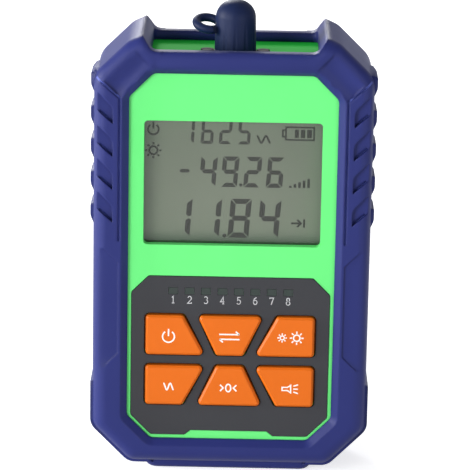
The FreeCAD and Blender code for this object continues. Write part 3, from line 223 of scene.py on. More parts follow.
def make_lamp(name, place, size, power):
    """Soft square lamp that looks at the middle of the meter."""
    data = bpy.data.lights.new(name, "AREA")
    data.shape, data.size, data.energy = "SQUARE", size, power
    aim(place_object(name, data), place, LAMP_TARGET)


def make_floor():
    """Pale floor, shown white, that keeps the meter's soft shadow."""
    mesh = bpy.data.meshes.new("floor")
    reach = FLOOR_REACH
    mesh.from_pydata([(-reach, -reach, 0), (reach, -reach, 0), (reach, reach, 0),
                      (-reach, reach, 0)], [], [(0, 1, 2, 3)])
    floor = place_object("floor", mesh)
    paper = Finish("floor_white")
    cloud = paper.noise(3.0)
    matt = paper.node("ShaderNodeBsdfDiffuse",
                      {"Color": paper.mix(tone(228, 228, 230), tone(232, 232, 233), cloud)})
    glow = paper.node("ShaderNodeEmission", {"Strength": FLOOR_GLOW})
    lit = paper.node("ShaderNodeAddShader", {0: matt, 1: glow})
    paper.show(paper.node("ShaderNodeMixShader", {0: paper.seen(), 1: matt, 2: lit}))
    mesh.materials.append(paper.material)


def make_light():
    """White surroundings and four lamps.

    The surroundings are dimmer as a light than as a reflection. Two lamps stand low in
    front of the meter, one on its left and one behind it.
    """
    world = bpy.data.worlds.new("studio")
    bpy.context.scene.world = world
    air = Finish("studio", world)
    dim = air.node("ShaderNodeBackground", {"Strength": DIM})
    bright = air.node("ShaderNodeBackground", {"Strength": BRIGHT})
    both = air.node("ShaderNodeMixShader", {0: air.seen(MIRRORED), 1: dim, 2: bright})
    air.node("ShaderNodeOutputWorld", {"Surface": both})
    for lamp in LAMPS:
        make_lamp(*lamp)


# ---- meshes ----

def new_piece(name, points, faces, material, body):
    """A piece from an array of points and a list of faces, riding on a body."""
    mesh = bpy.data.meshes.new(name)
    mesh.from_pydata(points.tolist(), [], faces)
    mesh.validate()
    piece = place_object(name, mesh)
    mesh.materials.append(material)
    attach(piece, body)


def welded(name):
    """Working copy of a solid's mesh, with the points at one place joined."""
    shape = bmesh.new()
    shape.from_mesh(NODES[name].data)
    bmesh.ops.remove_doubles(shape, verts=shape.verts, dist=1e-6)
    return shape


def mesh_of(shape, name):
    """Mesh from a working copy, which is then let go."""
    mesh = bpy.data.meshes.new(name)
    shape.to_mesh(mesh)
    shape.free()
    return mesh


def smooth_below(mesh, degrees):
    """Shade every face smooth, with a sharp edge where two faces turn by more than an angle."""
    mesh.polygons.foreach_set("use_smooth", np.ones(len(mesh.polygons), bool))
    mesh.set_sharp_from_angle(angle=math.radians(degrees))


def print_signs(name, shapes, level, thick, material, body):
    """A piece of flat raised shapes that face the display side, riding on a body.

    Each shape is an outline of (x, z) in millimetres, counter-clockwise from the front.
    Its points lie at the level and again thick behind it. One face closes each end, and
    a quad joins each side of the outline to the side behind it.
    """
    points, faces, base = [], [], 0
    for outline in shapes:
        outline = np.asarray(outline, float)
        count = len(outline)
        near = np.column_stack([outline[:, 0], np.full(count, level), outline[:, 1]])
        far = near + (0.0, thick, 0.0)
        points += [near, far]
        index = np.arange(count)
        following = np.roll(index, -1)
        faces.append((base + index).tolist())
        faces.append((base + count + index[::-1]).tolist())
        faces += (base + np.column_stack([following, index, index + count,
                                          following + count])).tolist()
        base += 2 * count
    new_piece(name, np.concatenate(points) * MM, faces, material, body)


def stroke(path, width, closed=False):
    """Quads along a line of (x, z) points, each side half a width off on the mitre.

    The mitre at a point is the mean of the normals of the two lines that meet there,
    lengthened by one over the cosine of the half turn, to 2.5 times at most.
    """
    least_cosine = 0.4
    path = np.asarray(path, float)
    before = np.roll(path, 1, axis=0) if closed else np.vstack([2 * path[0] - path[1],
                                                               path[:-1]])
    after = np.roll(path, -1, axis=0) if closed else np.vstack([path[1:],
                                                               2 * path[-1] - path[-2]])
    first, second = path - before, after - path
    first /= np.linalg.norm(first, axis=1)[:, None]
    second /= np.linalg.norm(second, axis=1)[:, None]
    normal = np.column_stack([-(first + second)[:, 1], (first + second)[:, 0]])
    normal /= np.linalg.norm(normal, axis=1)[:, None]
    cosine = normal[:, 1] * first[:, 0] - normal[:, 0] * first[:, 1]
    offset = normal * (width / 2 / np.clip(cosine, least_cosine, 1.0))[:, None]
    left, right = path + offset, path - offset
    if closed:
        left, right = np.vstack([left, left[:1]]), np.vstack([right, right[:1]])
    return [np.array([right[i], right[i + 1], left[i + 1], left[i]])
            for i in range(len(left) - 1)]


def arc(centre, radius, start, end, count=24, rise=None):
    """Points on a circle, or on an ellipse with its own rise, between two angles in degrees."""
    turn = np.radians(np.linspace(start, end, count))
    return np.column_stack([centre[0] + radius * np.cos(turn),
                            centre[1] + (rise or radius) * np.sin(turn)])


# ---- finishes ----

RUBBER_EDGE = 0.0006  # radius of its edges in metres


def painted_light_in_cuts(finish):
    """Share of paler colour painted into the boot's fine cuts, the groove round a grip and the
    slits in it, as painted light that lifts the shade in them.

    The groove has an upright line and one that slants outwards at its top. A cut is known
    by its |x|, its height and its depth behind the boot's front. Elsewhere the share is 0.
    """
    across, height = abs(finish.along(0)), finish.along(2)
    depth = finish.along(1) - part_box("boot")[0][1]
    climb = height - (across - GROOVE_X * MM) * GROOVE_SLOPE
    top = GROOVE_TOP * MM
    upright = finish.band(across, 0.0271, 0.0276) * finish.band(height, 0.059, top)
    slanted = finish.band(climb, 0.0941, 0.0947) * finish.band(across, 0.0274, 0.0331)
    slits = finish.band(across, 0.029, 0.032) * finish.band(height, 0.063, 0.092)
    groove = (upright + slanted) * finish.band(depth, 0.00015, 0.00175)
    return groove * 0.9 + slits * finish.band(depth, 0.0011, 0.00175) * 0.6


def rubber(name, colour, second, roughness=0.43, gloss=0.24, shoulder=RUBBER_EDGE, cut_light_paint=None):
    """Moulded rubber: cloudy colour, soft edges and fine matt grain.

    The edges above and below the grips are rounded over the shoulder radius. A paler colour, where
    given, is painted on the walls and floors of the fine cuts round the grips: painted light that
    lifts the shade in them.
    """
    finish = Finish(name)
    cloud = finish.noise(60.0, 4.0)
    grain = finish.noise(3200.0, 2.0)
    base = finish.mix(colour, second, cloud * 0.8 + grain * 0.2)
    # Painted light: the fine cuts round the grips are painted paler, lifting their shade.
    if cut_light_paint:
        base = finish.mix(base, cut_light_paint, painted_light_in_cuts(finish))
    across, height = abs(finish.along(0)), finish.along(2)
    above = finish.step(height, 0.094, 0.102)
    below = finish.step(across, 0.029, 0.031) * (1.0 - finish.step(height, 0.054, 0.058))
    edges = finish.mix(finish.softened(RUBBER_EDGE), finish.softened(shoulder), below + above)
    return finish.surface(Base_Color=base, Roughness=roughness + cloud * 0.1 - grain * 0.06,
                          Specular_IOR_Level=gloss, Sheen_Weight=0.09, Sheen_Roughness=0.2,
                          Sheen_Tint=tone(195, 205, 245),
                          Normal=finish.relief(grain, 0.00002, 0.5, edges))


def moulded(name, colour, second, roughness=0.38, grain_depth=0.000012, painted_deck_shade=None):
    """Moulded plastic: slight drift of colour, edges rounded to 0.2 mm, a spark-eroded grain.

    Where a darker green is given for the top wall, it is painted there as painted shade for the
    boot's well, and the top wall is made rougher.
    """
    finish = Finish(name)
    cloud = finish.noise(90.0, 3.0)
    grain = finish.noise(4200.0, 2.0)
    base = finish.mix(colour, second, cloud * 0.7 + grain * 0.3)
    dull = roughness + grain * 0.08 + cloud * 0.04
    # Painted shade: the top wall, down in the boot's well, gets a darker green and more roughness.
    if painted_deck_shade:
        above = finish.step(finish.along(2), 0.1032, 0.10335)
        base = finish.mix(base, painted_deck_shade, above)
        dull = dull + above * 0.5
    return finish.surface(Base_Color=base, Roughness=dull, Specular_IOR_Level=0.25,
                          Normal=finish.relief(grain, grain_depth, 0.5,
                                               finish.softened(0.0002)))


def metal(name, colour, roughness, stretch=(1.0, 1.0, 40.0), painted_shade_below=None):
    """Machined or stamped metal with fine tool lines; below a given height it is painted black as
    painted shade.
    """
    finish = Finish(name)
    lines = finish.noise(900.0, 4.0, stretch)
    darker = tuple(share * 0.82 for share in colour[:3]) + (1.0,)
    base = finish.mix(colour, darker, lines)
    bare = 1.0
    # Painted shade: below the given height the metal turns black and not metallic.
    if painted_shade_below:
        bare = finish.step(finish.along(2), painted_shade_below - 0.00002, painted_shade_below)
        base = finish.mix(tone(30, 32, 36), base, bare)
    return finish.surface(Base_Color=base, Metallic=bare, Roughness=roughness + lines * 0.14,
                          Normal=finish.relief(lines, 0.000008, 0.4))


def clear_plate():
    """Clear acrylic: light passes straight, and its outer face mirrors a thin share of it.

    The outer face mirrors for the inner one too, so its share is raised by 1.6. The inner
    face would turn back every ray at a steep slant, as light isn't bent on its way in.
    """
    finish = Finish("lens_clear")
    scuffs = finish.step(finish.noise(700.0, 6.0, (1.0, 1.0, 0.2)), 0.62, 0.8)
    through = finish.node("ShaderNodeBsdfTransparent", {0: (0.92, 0.93, 0.92, 1.0)})
    gloss = finish.node("ShaderNodeBsdfGlossy", {"Roughness": 0.04 + scuffs * 0.1})
    edge = finish.node("ShaderNodeFresnel", {"IOR": 1.4})
    outer = 1.0 - finish.node("ShaderNodeNewGeometry", out="Backfacing")
    finish.show(finish.node("ShaderNodeMixShader",
                            {0: edge * outer * 1.6, 1: through, 2: gloss}))
    return finish.material


def crystal():
    """Liquid-crystal cell: grey-green reflector under glass.

    Its colour carries painted shade: lighter in the middle than at its sides and top, where the
    window's edges shade it, and painted dark green along its foot for the shade and green
    reflection of the window's sill.
    """
    finish = Finish("display_grey")
    low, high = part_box("display_cell")
    across = abs(finish.along(0)) / high[0]
    rise = (finish.along(2) - low[2]) / (high[2] - low[2])
    cloud = finish.noise(120.0, 2.0)
    # Painted shade: darker towards the sides and the top.
    shade = finish.step(across, 0.2, 1.1) * 0.38 + cloud * 0.2
    shade = shade + finish.step(rise, 0.3, 0.9) * 0.42
    lit = finish.mix(tone(125, 133, 116), tone(100, 110, 93), shade)
    # Painted shade and green reflection of the sill along the cell's foot.
    foot = 1.0 - finish.step(rise, 0.07, 0.2)
    return finish.surface(Base_Color=finish.mix(lit, tone(54, 79, 58), foot),
                          Roughness=0.3 + cloud * 0.05)


def segment_ink(name, light):
    """Dark switched-on segments, a little uneven as liquid crystal is.

    light is the grey level of their darkest parts, from 0 to 255.
    """
    finish = Finish(name)
    cloud = finish.noise(800.0, 2.0)
    return finish.surface(Base_Color=finish.mix(tone(light, light + 2, light - 2),
                                                tone(light + 10, light + 12, light + 6), cloud),
                          Roughness=0.4 + cloud * 0.1, Specular_IOR_Level=0.2)


def print_ink(name, colour, second):
    """Screen-printed ink: nearly flat colour with fine pinholes."""
    finish = Finish(name)
    speckle = finish.noise(5200.0, 2.0)
    return finish.surface(Base_Color=finish.mix(colour, second, finish.step(speckle, 0.5, 0.8)),
                          Roughness=0.5 + speckle * 0.1)


def circuit_board():
    """Green solder mask over copper: tracks where two crossed sets of cells meet, gold pads."""
    finish = Finish("board_mask")
    upright = finish.node("ShaderNodeMapping", {0: finish.place,
                                                "Rotation": (math.pi / 2, 0, 0)})
    cells = finish.node("ShaderNodeTexBrick", {
        "Vector": upright, "Color1": (0, 0, 0, 1), "Color2": (0.25, 0.25, 0.25, 1),
        "Mortar": (1, 1, 1, 1), "Scale": 150.0, "Mortar Size": 0.045, "Mortar Smooth": 0.2,
        "Row Height": 0.3}, offset=0.5)
    holes = finish.node("ShaderNodeTexVoronoi", {"Vector": finish.place, "Scale": 260.0})
    pad = 1.0 - finish.step(holes, 0.14, 0.2)
    mask = finish.mix(tone(20, 82, 46), tone(42, 122, 70), cells)
    lumps = finish.noise(240.0)
    return finish.surface(Base_Color=finish.mix(mask, tone(205, 176, 98), pad),
                          Metallic=pad * 0.8, Roughness=0.3 + lumps * 0.12,
                          Normal=finish.relief(lumps, 0.00003, 0.4))


def cell_jacket(name, low, high, turned):
    """Printed jacket of a cell: bare metal at its ends, a plain band at the positive end.

    low and high are the heights of its ends. A turned cell has its positive end down.
    """
    jacket, band = tone(28, 30, 34), tone(188, 150, 72)
    finish = Finish(name)
    height = finish.along(2)
    if turned:
        height = low + high - height
    inside = finish.step(height, low + 0.0016, low + 0.0017)
    inside = inside * (1.0 - finish.step(height, high - 0.0024, high - 0.0023))
    banded = finish.step(height, high - 0.0135, high - 0.0133)
    lines = finish.noise(700.0, 3.0)
    paint = finish.mix(jacket, band, banded)
    return finish.surface(Base_Color=finish.mix(tone(196, 196, 194), paint, inside),
                          Metallic=1.0 - inside * 0.85, Roughness=0.24 + lines * 0.14,
                          Normal=finish.relief(lines, 0.00001, 0.3))


def guide_plastic():
    """Dark tinted light guide with a fibrous depth."""
    finish = Finish("guide_green")
    streak = finish.noise(1500.0, 3.0, (1.0, 1.0, 0.4))
    return finish.surface(Base_Color=finish.mix(tone(57, 61, 62), tone(49, 63, 56), streak),
                          Roughness=0.5 + streak * 0.1, Specular_IOR_Level=0.2)


# ---- fibre port ----

# Thread of the port, in millimetres unless said otherwise.
THREAD_RADIUS, THREAD_DEPTH, THREAD_PITCH = 4.0, 0.38, 0.75
THREAD_BELOW, THREAD_ABOVE = 6.7, 0.9  # ends of the groove, from the top of the port
THREAD_STEPS = 48  # sections to a turn
THREAD_SPARE = 0.08  # how far the cutter stands out of the port
THREAD_FLANK = 0.46  # half the groove's width, in pitches


def helix_groove(centre_y, low, high):
    """Solid that cuts a V groove: a triangle carried up a helix, in millimetres.

    At turn t the triangle's point is at the radius less the depth, and its base is just
    outside the radius. The triangle's middle is at low plus t times the pitch. Over the
    first half turn the point moves in from outside, so that the groove fades out.
    """
    count = int((high - low) / THREAD_PITCH * THREAD_STEPS)
    turn = np.arange(count) / THREAD_STEPS
    angle = turn * 2 * math.pi
    outside = THREAD_RADIUS + THREAD_SPARE
    root = outside - (THREAD_DEPTH + THREAD_SPARE) * np.clip(turn * 2, 0.02, 1)
    reach = np.column_stack([root, np.full(count, outside), np.full(count, outside)])
    flanks = np.array([0.0, -THREAD_FLANK, THREAD_FLANK])
    rise = flanks * THREAD_PITCH + low + turn[:, None] * THREAD_PITCH
    points = np.stack([reach * np.cos(angle)[:, None],
                       centre_y + reach * np.sin(angle)[:, None], rise], axis=2)
    ring = np.arange(count - 1)[:, None] * 3
    faces = np.concatenate([ring + np.array([side, (side + 1) % 3, (side + 1) % 3 + 3, side + 3])
                            for side in range(3)]).tolist()
    faces += [[2, 1, 0], [count * 3 - 3, count * 3 - 2, count * 3 - 1]]
    mesh = bpy.data.meshes.new("groove")
    mesh.from_pydata((points.reshape(-1, 3) * MM).tolist(), [], faces)
    return mesh


def make_threaded_port():
    """Fibre port with its fine thread cut in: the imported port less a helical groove."""
    low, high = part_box("port_adapter")
    port = place_object("port_thread", mesh_of(welded("port_adapter"), "port_thread"))
    top = high[2] / MM
    cutter = place_object("groove", helix_groove((low[1] + high[1]) / 2 / MM,
                                                 top - THREAD_BELOW, top + THREAD_ABOVE))
    cut = port.modifiers.new("cut", "BOOLEAN")
    cut.object, cut.operation, cut.solver = cutter, "DIFFERENCE", "EXACT"
    bpy.context.view_layer.update()
    done = bpy.data.meshes.new_from_object(port.evaluated_get(
        bpy.context.evaluated_depsgraph_get()))
    port.modifiers.clear()
    bpy.data.objects.remove(cutter)
    port.data = done
    done.materials.clear()
    # The flange of the port, below the housing's top wall, is painted black as painted shade.
    flange_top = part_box("front_housing")[1][2] + 0.0002
    done.materials.append(metal("port_nickel", tone(205, 203, 196), 0.26, (1.0, 1.0, 1.0),
                                flange_top))
    smooth_below(done, 32)
    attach(port, "meter")
    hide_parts("port_adapter")


# ---- boot ----

def rise_between(amount, low, high):
    """Smooth rise from 0 at low to 1 at high, for an array."""
    share = np.clip((amount - low) / (high - low), 0.0, 1.0)
    return share * share * (3.0 - 2.0 * share)


# Upper corners of the boot, on its display side, in millimetres.
CORNER_EDGE, CORNER_SPLITS = 0.6, 7  # longest edge there, and the most rounds of cuts
CORNER_X, CORNER_Z, CORNER_Y = 13.0, 90.0, -12.0  # inner, lower and rear bounds of the cuts
SHEET_Y = -11.5  # rear bound of the sheet that is blended
FRONTWARD = -0.2  # a face of the sheet has a normal with y below this
BLEND_PASSES, BLEND_WEIGHT = 90, 0.5
BLEND_X, BLEND_RISE = (14.0, 19.0), (0.5, 2.5)  # where the weight rises, in |x| and
# in height over the groove
SAME_PLACE = 0.000002  # two points closer than this, in metres, are one


def long_corner_edge(edge):
    """Whether an edge lies in an upper corner of the boot and is too long to bend."""
    return edge.calc_length() > CORNER_EDGE * MM and all(
        abs(end.co.x) > CORNER_X * MM and end.co.z > CORNER_Z * MM for end in edge.verts)


def split_corners(shape):
    """Halve the long edges in the boot's upper corners, on its display side, round by round."""
    for _ in range(CORNER_SPLITS):
        edges = {}  # keeps the order of the faces, so that each run cuts alike
        for face in shape.faces:
            middle = face.calc_center_median() / MM
            if face.normal.y < FRONTWARD and middle.y < CORNER_Y:
                edges.update((edge, True) for edge in face.edges if long_corner_edge(edge))
        if not edges:
            break
        bmesh.ops.subdivide_edges(shape, edges=list(edges), cuts=1, use_grid_fill=False)
        bmesh.ops.triangulate(shape, faces=[face for face in shape.faces if len(face.verts) > 3])
        shape.normal_update()


def keep_shading(mesh, source, moved):
    """Shading directions of the source where a vertex hasn't moved, and smooth ones elsewhere.

    A face's corner takes, of the source's corners at the same place, the direction that
    lies nearest to the face's own.
    """
    smooth_below(mesh, 28)
    tree = KDTree(len(source.loops))
    for loop in source.loops:
        tree.insert(source.vertices[loop.vertex_index].co, loop.index)
    tree.balance()
    given = [normal.vector.copy() for normal in source.corner_normals]
    found = {}
    normals = [normal.vector.copy() for normal in mesh.corner_normals]
    for face in mesh.polygons:
        for corner in face.loop_indices:
            vert = mesh.loops[corner].vertex_index
            if moved[vert]:
                continue
            if vert not in found:
                near = tree.find_range(mesh.vertices[vert].co, SAME_PLACE)
                found[vert] = [given[index] for _, index, _ in near]
            if found[vert]:
                normals[corner] = max(found[vert], key=face.normal.dot)
    mesh.normals_split_custom_set(normals)


def make_boot():
    """Rubber boot with the valleys of its upper corners blended into the rim.

    A point of the display-side sheet moves in y only. In each pass it goes a weight times
    the way to the mean depth of its neighbours. The weight is full inside the corner and
    falls to 0 at the grip's groove, along the rim and where the sheet ends at a wall.
    """
    shape = welded("boot")
    bmesh.ops.triangulate(shape, faces=shape.faces)
    shape.normal_update()
    split_corners(shape)
    shape.verts.ensure_lookup_table()
    shape.verts.index_update()
    place = np.array([vert.co for vert in shape.verts]) / MM
    sheet = np.array([vert.co.y < SHEET_Y * MM
                      and all(face.normal.y < FRONTWARD for face in vert.link_faces)
                      for vert in shape.verts])
    across, height = abs(place[:, 0]), place[:, 2]
    above = height - GROOVE_TOP - GROOVE_SLOPE * np.clip(across - GROOVE_X, 0.0, None)
    weight = BLEND_WEIGHT * sheet * rise_between(across, *BLEND_X)
    weight = weight * rise_between(above, *BLEND_RISE)
    pairs = np.array([[edge.verts[0].index, edge.verts[1].index] for edge in shape.edges])
    pairs = pairs[(weight[pairs] > 0).any(axis=1)]
    ends = np.concatenate([pairs, pairs[:, ::-1]])
    counts = np.maximum(np.bincount(ends[:, 0], minlength=len(place)), 1)
    depth = place[:, 1].copy()
    for _ in range(BLEND_PASSES):
        mean = np.bincount(ends[:, 0], depth[ends[:, 1]], len(place)) / counts
        depth += weight * (mean - depth)
    for vert, level in zip(shape.verts, depth):
        vert.co.y = level * MM
    mesh = mesh_of(shape, "boot_skin")
    mesh.materials.append(NODES["boot"].data.materials[0])
    keep_shading(mesh, NODES["boot"].data, weight > 0)
    piece = place_object("boot_skin", mesh)
    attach(piece, "meter")
    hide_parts("boot")


# ---- door grip ----

# Grip bars of the door, in millimetres.
GRIP_BARS = (3.0, 4.6, 6.2)  # how far the bars' middles lie below the top of the door
GRIP_REACH, GRIP_DEPTH, GRIP_HALF_HEIGHT = 4.0, 0.6, 0.45
RECESS_DEPTH = 0.85  # from the back of the door to the floor of its recess


def make_door_grip():
    """Three bars with half-round backs, moulded across the finger recess of the door.

    The cross-section is half an ellipse: at angle t the height is the middle plus the half
    height times cos t, and the back stands sin t times the depth out of the recess floor.
    """
    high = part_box("battery_door")[1]
    floor, top = high[1] / MM - RECESS_DEPTH, high[2] / MM
    count = 9
    turn = np.linspace(0.0, math.pi, count)
    points, faces = [], []
    for number, drop in enumerate(GRIP_BARS):
        section = np.column_stack([floor + GRIP_DEPTH * np.sin(turn),
                                   top - drop + GRIP_HALF_HEIGHT * np.cos(turn)])
        for across in (-GRIP_REACH, GRIP_REACH):
            points += [(across, back, height) for back, height in section]
        near = (number * 2 * count + np.arange(count)).tolist()
        far = [index + count for index in near]
        faces += [near[::-1], far]
        faces += [[near[i], near[i + 1], far[i + 1], far[i]] for i in range(count - 1)]
        faces.append([near[-1], near[0], far[0], far[-1]])
    green = NODES["battery_door"].data.materials[0]
    new_piece("door_grip", np.array(points) * MM, faces, green, "door")


# ---- display contents ----

# Bars of each figure: a top, b and c right, d foot, e and f left, g middle.
SEGMENTS = {"1": "bc", "2": "abdeg", "4": "bcfg", "5": "acdfg", "6": "acdefg",
            "8": "abcdefg", "9": "abcdfg"}


def digit(sign, left, low, wide, high, thick, lean):
    """Bars of one seven-segment digit, each with slanted ends and a gap to its neighbours.

    The bars lie on a frame wide by high, and x moves by lean times the height over low.
    """
    gap, half, middle = thick * 0.09, thick / 2, high / 2

    def middle_bar():
        """Six-sided bar across the middle."""
        first, last = half + gap, wide - half - gap
        tip, side = half * 0.3, half * 0.7
        return [(first - tip, middle), (first + side, middle - half), (last - side, middle - half),
                (last + tip, middle), (last - side, middle + half), (first + side, middle + half)]

    def end_bar(outer, inner):
        """Bar along the top or the foot, longer on its outer side."""
        return [(thick + gap, inner), (wide - thick - gap, inner),
                (wide - gap * 2, outer), (gap * 2, outer)]

    def upright(x_out, x_in, way):
        """Bar on one side, above the middle for way 1 and below it for way -1."""
        z_out, z_in = middle - gap * 2, middle - thick - gap
        near, near_in = gap + thick * 0.1, gap + half
        return [(x, middle + way * z) for x, z in (
            (x_out, z_out), (x_in, z_in), (x_in, near_in), ((x_out + x_in) / 2, near),
            (x_out, near_in - half * 0.4))]

    bars = {"a": end_bar(high, high - thick), "d": end_bar(0, thick), "g": middle_bar(),
            "b": upright(wide, wide - thick, 1), "c": upright(wide, wide - thick, -1),
            "f": upright(0, thick, 1), "e": upright(0, thick, -1)}
    shapes = []
    for name in SEGMENTS[sign]:
        shape = np.array(bars[name], float)
        area = np.sum(shape[:, 0] * np.roll(shape[:, 1], -1)
                      - np.roll(shape[:, 0], -1) * shape[:, 1])
        shape = shape if area > 0 else shape[::-1]
        shape[:, 0] += left + shape[:, 1] * lean
        shape[:, 1] += low
        shapes.append(shape)
    return shapes


def wave(centre, wide, high, thick):
    """One and a half periods of a sine line, about a centre in (x, z)."""
    along = np.linspace(-0.5, 0.5, 31)
    path = np.column_stack([centre[0] + wide * along,
                            centre[1] + high / 2 * np.sin(along * 3 * math.pi)])
    return stroke(path, thick)


def sun(centre, radius, reach, thick):
    """Ring with eight short rays round it, out to the reach."""
    shapes = stroke(arc(centre, radius, 0, 360, 33)[:-1], thick, True)
    for turn in np.arange(8) * math.pi / 4:
        way = np.array((math.cos(turn), math.sin(turn)))
        shapes += stroke([way * (radius + thick * 0.9) + centre, way * reach + centre], thick)
    return shapes


# Rows of figures in millimetres: each sign with its left end, then the row's foot, the
# width, height and thickness of its figures, and their lean.
FIGURE_ROWS = (
    ((("1", -12.6), ("6", -7.95), ("2", -3.55), ("5", 0.95)), (82.4, 3.0, 6.2, 0.75, 0.055)),
    ((("4", -8.25), ("9", -3.0), ("2", 2.5), ("6", 7.95)), (71.75, 4.0, 7.6, 1.05, 0.075)),
    ((("1", -15.45), ("1", -8.3), ("8", -1.1), ("4", 6.1)), (59.1, 5.1, 9.75, 1.28, 0.075)))
DECIMAL_POINTS = (((1.95, 72.3), 0.42), ((-1.8, 59.55), 0.5))
MINUS = ((-12.95, 75.6), (-12.6, 75.15), (-10.8, 75.15), (-10.45, 75.6), (-10.8, 76.05),
         (-12.6, 76.05))
WINDOW_SPARE = 0.1  # how far below the window's top edge a bar has to end to be kept
CELL_GAP, CELL_PRINT = 0.03, 0.03  # from the signs' fronts to the cell, and their thickness
# Left end and top of each rising bar, and the two sides of each bar of charge.
RISING_BARS = ((13.65, 72.35), (14.75, 72.8), (15.85, 73.25), (16.95, 73.7), (18.05, 74.15))
CHARGE_BARS = ((14.75, 15.7), (16.2, 17.25), (17.72, 18.9))


def upright_box(left, right, foot, top):
    """Outline of a box between two values of x and two heights."""
    return [(left, foot), (right, foot), (right, top), (left, top)]


def display_figures(top):
    """Outlines of the three readings, without the bars that the window's top edge hides."""
    shapes = []
    for row, layout in FIGURE_ROWS:
        for sign, left in row:
            shapes += digit(sign, left, *layout)
    shapes += [arc(centre, radius, 0, 345) for centre, radius in DECIMAL_POINTS]
    shapes += [MINUS]
    return [shape for shape in shapes if np.asarray(shape)[:, 1].max() < top]


def display_signs():
    """Outlines of the small signs of the display."""
    thin, battery = 0.47, 0.42
    shapes = wave((7.25, 83.75), 3.3, 1.7, thin)
    shapes += [upright_box(left, left + 0.62, 71.85, high) for left, high in RISING_BARS]
    shapes += stroke([(14.3, 62.95), (16.7, 62.95)], thin)
    shapes += stroke([(15.8, 62.05), (16.75, 62.95), (15.8, 63.85)], thin)
    shapes += stroke([(17.5, 61.9), (17.5, 64.0)], thin)
    shapes += stroke(arc((-19.37, 85.75), 1.29, -235, 55, 40), thin)
    shapes += stroke([(-19.37, 85.9), (-19.37, 87.6)], thin)
    shapes += sun((-19.32, 80.54), 1.0, 2.0, thin)
    shapes += stroke(upright_box(12.6, 19.4, 83.75, 86.85), battery, True)
    shapes += stroke([(12.6, 84.5), (11.85, 84.5), (11.85, 86.1), (12.6, 86.1)], battery)
    shapes += [upright_box(left, right, 84.25, 86.3) for left, right in CHARGE_BARS]
    return shapes


def make_display_contents():
    """Readings and signs, dark on the front of the liquid-crystal cell."""
    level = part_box("display_cell")[0][1] / MM - CELL_GAP
    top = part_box("display_lens")[1][2] / MM - WINDOW_SPARE
    print_signs("display_digits", display_figures(top), level, CELL_PRINT,
                segment_ink("segment_dark", 42), "meter")
    print_signs("display_signs", display_signs(), level, CELL_PRINT,
                segment_ink("sign_dark", 30), "meter")


# ---- printed legends ----

def numerals():
    """Lines of the figures 1 to 8 on a unit square, with short feet on 1 and 4."""
    def bow(centre, across, rise, start, end):
        """Part of an ellipse, between two angles in degrees."""
        return arc(centre, across, start, end, 19, rise)

    return (
        [[(0.2, 0.78), (0.5, 1), (0.5, 0)], [(0.18, 0), (0.82, 0)]],
        [np.vstack([bow((0.5, 0.71), 0.4, 0.29, 165, -35), [(0.06, 0), (0.94, 0), (0.94, 0.14)]])],
        [bow((0.46, 0.76), 0.36, 0.24, 150, -85), bow((0.46, 0.27), 0.44, 0.27, 85, -150)],
        [[(0.7, 0), (0.7, 1), (0.04, 0.3), (0.98, 0.3)], [(0.46, 0), (0.94, 0)]],
        [np.vstack([[(0.88, 1), (0.24, 1), (0.2, 0.54)],
                    bow((0.46, 0.31), 0.44, 0.31, 118, -150)])],
        [bow((0.88, 0.35), 0.8, 0.65, 95, 180), bow((0.5, 0.31), 0.42, 0.31, 0, 360)],
        [[(0.06, 0.84), (0.06, 1), (0.94, 1), (0.38, 0)]],
        [bow((0.5, 0.76), 0.33, 0.24, 0, 360), bow((0.5, 0.27), 0.43, 0.27, 0, 360)])


# Widths of lines and sizes of the printed signs, in millimetres.
KEY_LINE, TORCH_LINE, PRINT_THICK = 0.36, 0.32, 0.015
FIGURE_WIDE, FIGURE_HIGH, FIGURE_LINE = 1.05, 1.75, 0.2
FIGURE_Z, FIRST_FIGURE_X, FIGURE_PITCH = 44.08, -14.0, 4.0


def key_signs():
    """White sign of each key: its name, and the flat shapes that make it up."""
    power = stroke(arc((-15.0, 35.0), 1.45, -235, 55, 48), KEY_LINE)
    power += stroke([(-15.0, 35.1), (-15.0, 36.95)], KEY_LINE)
    middle, swap = -0.15, []
    for side, height in ((1, 35.8), (-1, 34.55)):
        swap += stroke([(middle - side * 2.5, height), (middle + side * 2.4, height)], KEY_LINE)
        swap += stroke([(middle + side * 1.55, height + side * 0.75),
                        (middle + side * 2.45, height)], KEY_LINE)
    light = sun((12.75, 35.2), 0.5, 1.15, 0.3)
    light += sun((16.3, 35.2), 0.8, 1.7, 0.34)
    middle = -0.2
    zero = stroke(arc((middle, 22.1), 0.62, 0, 360, 33, 0.95)[:-1], KEY_LINE, True)
    for side in (-1, 1):
        zero += stroke([(middle + side * 2.0, 22.9), (middle + side * 1.25, 22.1),
                        (middle + side * 2.0, 21.3)], KEY_LINE)
    torch = stroke([(13.0, 21.75), (14.3, 21.75), (15.1, 21.2), (15.1, 23.1), (14.3, 22.55),
                    (13.0, 22.55)], TORCH_LINE, True)
    for rise in (-0.75, 0.0, 0.75):
        torch += stroke([(15.75, 22.15 + rise), (16.9, 22.15 + rise * 1.5)], TORCH_LINE)
    return {"power": power, "unit": swap, "light": light, "reference": zero, "lamp": torch,
            "wavelength": wave((-14.85, 22.2), 2.5, 1.7, KEY_LINE)}


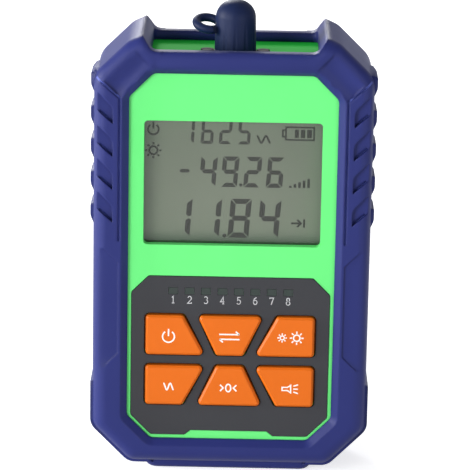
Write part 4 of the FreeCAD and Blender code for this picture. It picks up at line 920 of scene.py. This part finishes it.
def make_legends():
    """Signs on the keys and numbers under the indicators."""
    white = print_ink("ink_white", tone(246, 240, 236), tone(226, 218, 212))
    grey = print_ink("ink_grey", tone(196, 197, 200), tone(176, 177, 180))
    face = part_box("key_unit")[0][1] / MM - PRINT_THICK
    for name, shapes in key_signs().items():
        print_signs("legend_" + name, shapes, face, PRINT_THICK, white, "button_" + name)
    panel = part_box("keypad_panel")[0][1] / MM - PRINT_THICK
    figures = []
    for place, lines in enumerate(numerals()):
        corner = (FIRST_FIGURE_X - FIGURE_WIDE / 2 + FIGURE_PITCH * place,
                  FIGURE_Z - FIGURE_HIGH / 2)
        for line in lines:
            figures += stroke(np.array(line) * (FIGURE_WIDE, FIGURE_HIGH) + corner, FIGURE_LINE)
    print_signs("panel_numbers", figures, panel, PRINT_THICK, grey, "meter")


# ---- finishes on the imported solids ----

def paint(names, material):
    """Give solids their finish."""
    for name in names:
        slots = NODES[name].data.materials
        slots.clear()
        slots.append(material)


def make_finishes():
    """A finish for every solid of the model."""
    # The boot's fine cuts are painted a paler blue, as painted light.
    paint(["boot"], rubber("boot_blue", tone(35, 43, 108), tone(30, 38, 99), shoulder=0.0026,
                           cut_light_paint=tone(80, 92, 170)))
    # The housing's top wall gets a darker green as painted shade.
    green = moulded("housing_green", tone(109, 238, 130), tone(102, 231, 122), 0.24,
                    painted_deck_shade=tone(22, 205, 62))
    paint(["front_housing", "rear_housing", "battery_door"], green)
    paint(["keypad_panel"], moulded("panel_grey", tone(55, 56, 60), tone(50, 51, 55), 0.5))
    orange = moulded("key_orange", tone(222, 107, 18), tone(216, 102, 14), 0.36)
    black = moulded("part_black", tone(30, 30, 32), tone(38, 38, 40), 0.45)
    keys = ("power", "unit", "light", "wavelength", "reference", "lamp")
    paint(["key_" + key for key in keys], orange)
    paint(["plunger_" + key for key in keys], black)
    paint(["switch_bodies", "board_chips", "display_frame", "network_jack"], black)
    paint(["indicator_guides"], guide_plastic())
    paint(["indicator_leds"], moulded("led_white", tone(235, 236, 228), tone(226, 226, 214), 0.3))
    paint(["display_lens"], clear_plate())
    paint(["display_cell"], crystal())
    paint(["display_backlight"], moulded("light_guide", tone(236, 240, 240), tone(226, 232, 232),
                                         0.25))
    paint(["display_strip"], rubber("strip_rubber", tone(214, 132, 142), tone(60, 60, 64)))
    paint(["main_board"], circuit_board())
    steel = metal("screw_steel", tone(168, 168, 170), 0.3)
    paint(["housing_screws", "board_screws", "battery_plates"], steel)
    paint(["port_screws"], moulded("screw_blackened", tone(34, 36, 40), tone(26, 28, 32), 0.6))
    paint(["battery_springs"], metal("spring_nickel", tone(200, 200, 198), 0.22))
    paint(["ferrule_sleeve"], moulded("sleeve_ceramic", tone(246, 244, 238), tone(238, 236, 228),
                                      0.16, 0.000004))
    paint(["port_detector"], metal("detector_gold", tone(214, 186, 120), 0.24))
    paint(["dust_cap"], rubber("cap_navy", tone(18, 32, 69), tone(13, 26, 60), 0.5, 0.18))
    paint(["network_contacts"], metal("contact_gold", tone(232, 196, 104), 0.2))
    for place in ("left", "middle", "right"):
        low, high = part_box("battery_" + place)
        paint(["battery_" + place], cell_jacket("cell_" + place, low[2], high[2],
                                                place == "middle"))


make_camera()
make_floor()
make_light()
make_finishes()
make_boot()
make_threaded_port()
make_door_grip()
make_display_contents()
make_legends()

bpy.context.scene.view_settings.view_transform = "Standard"
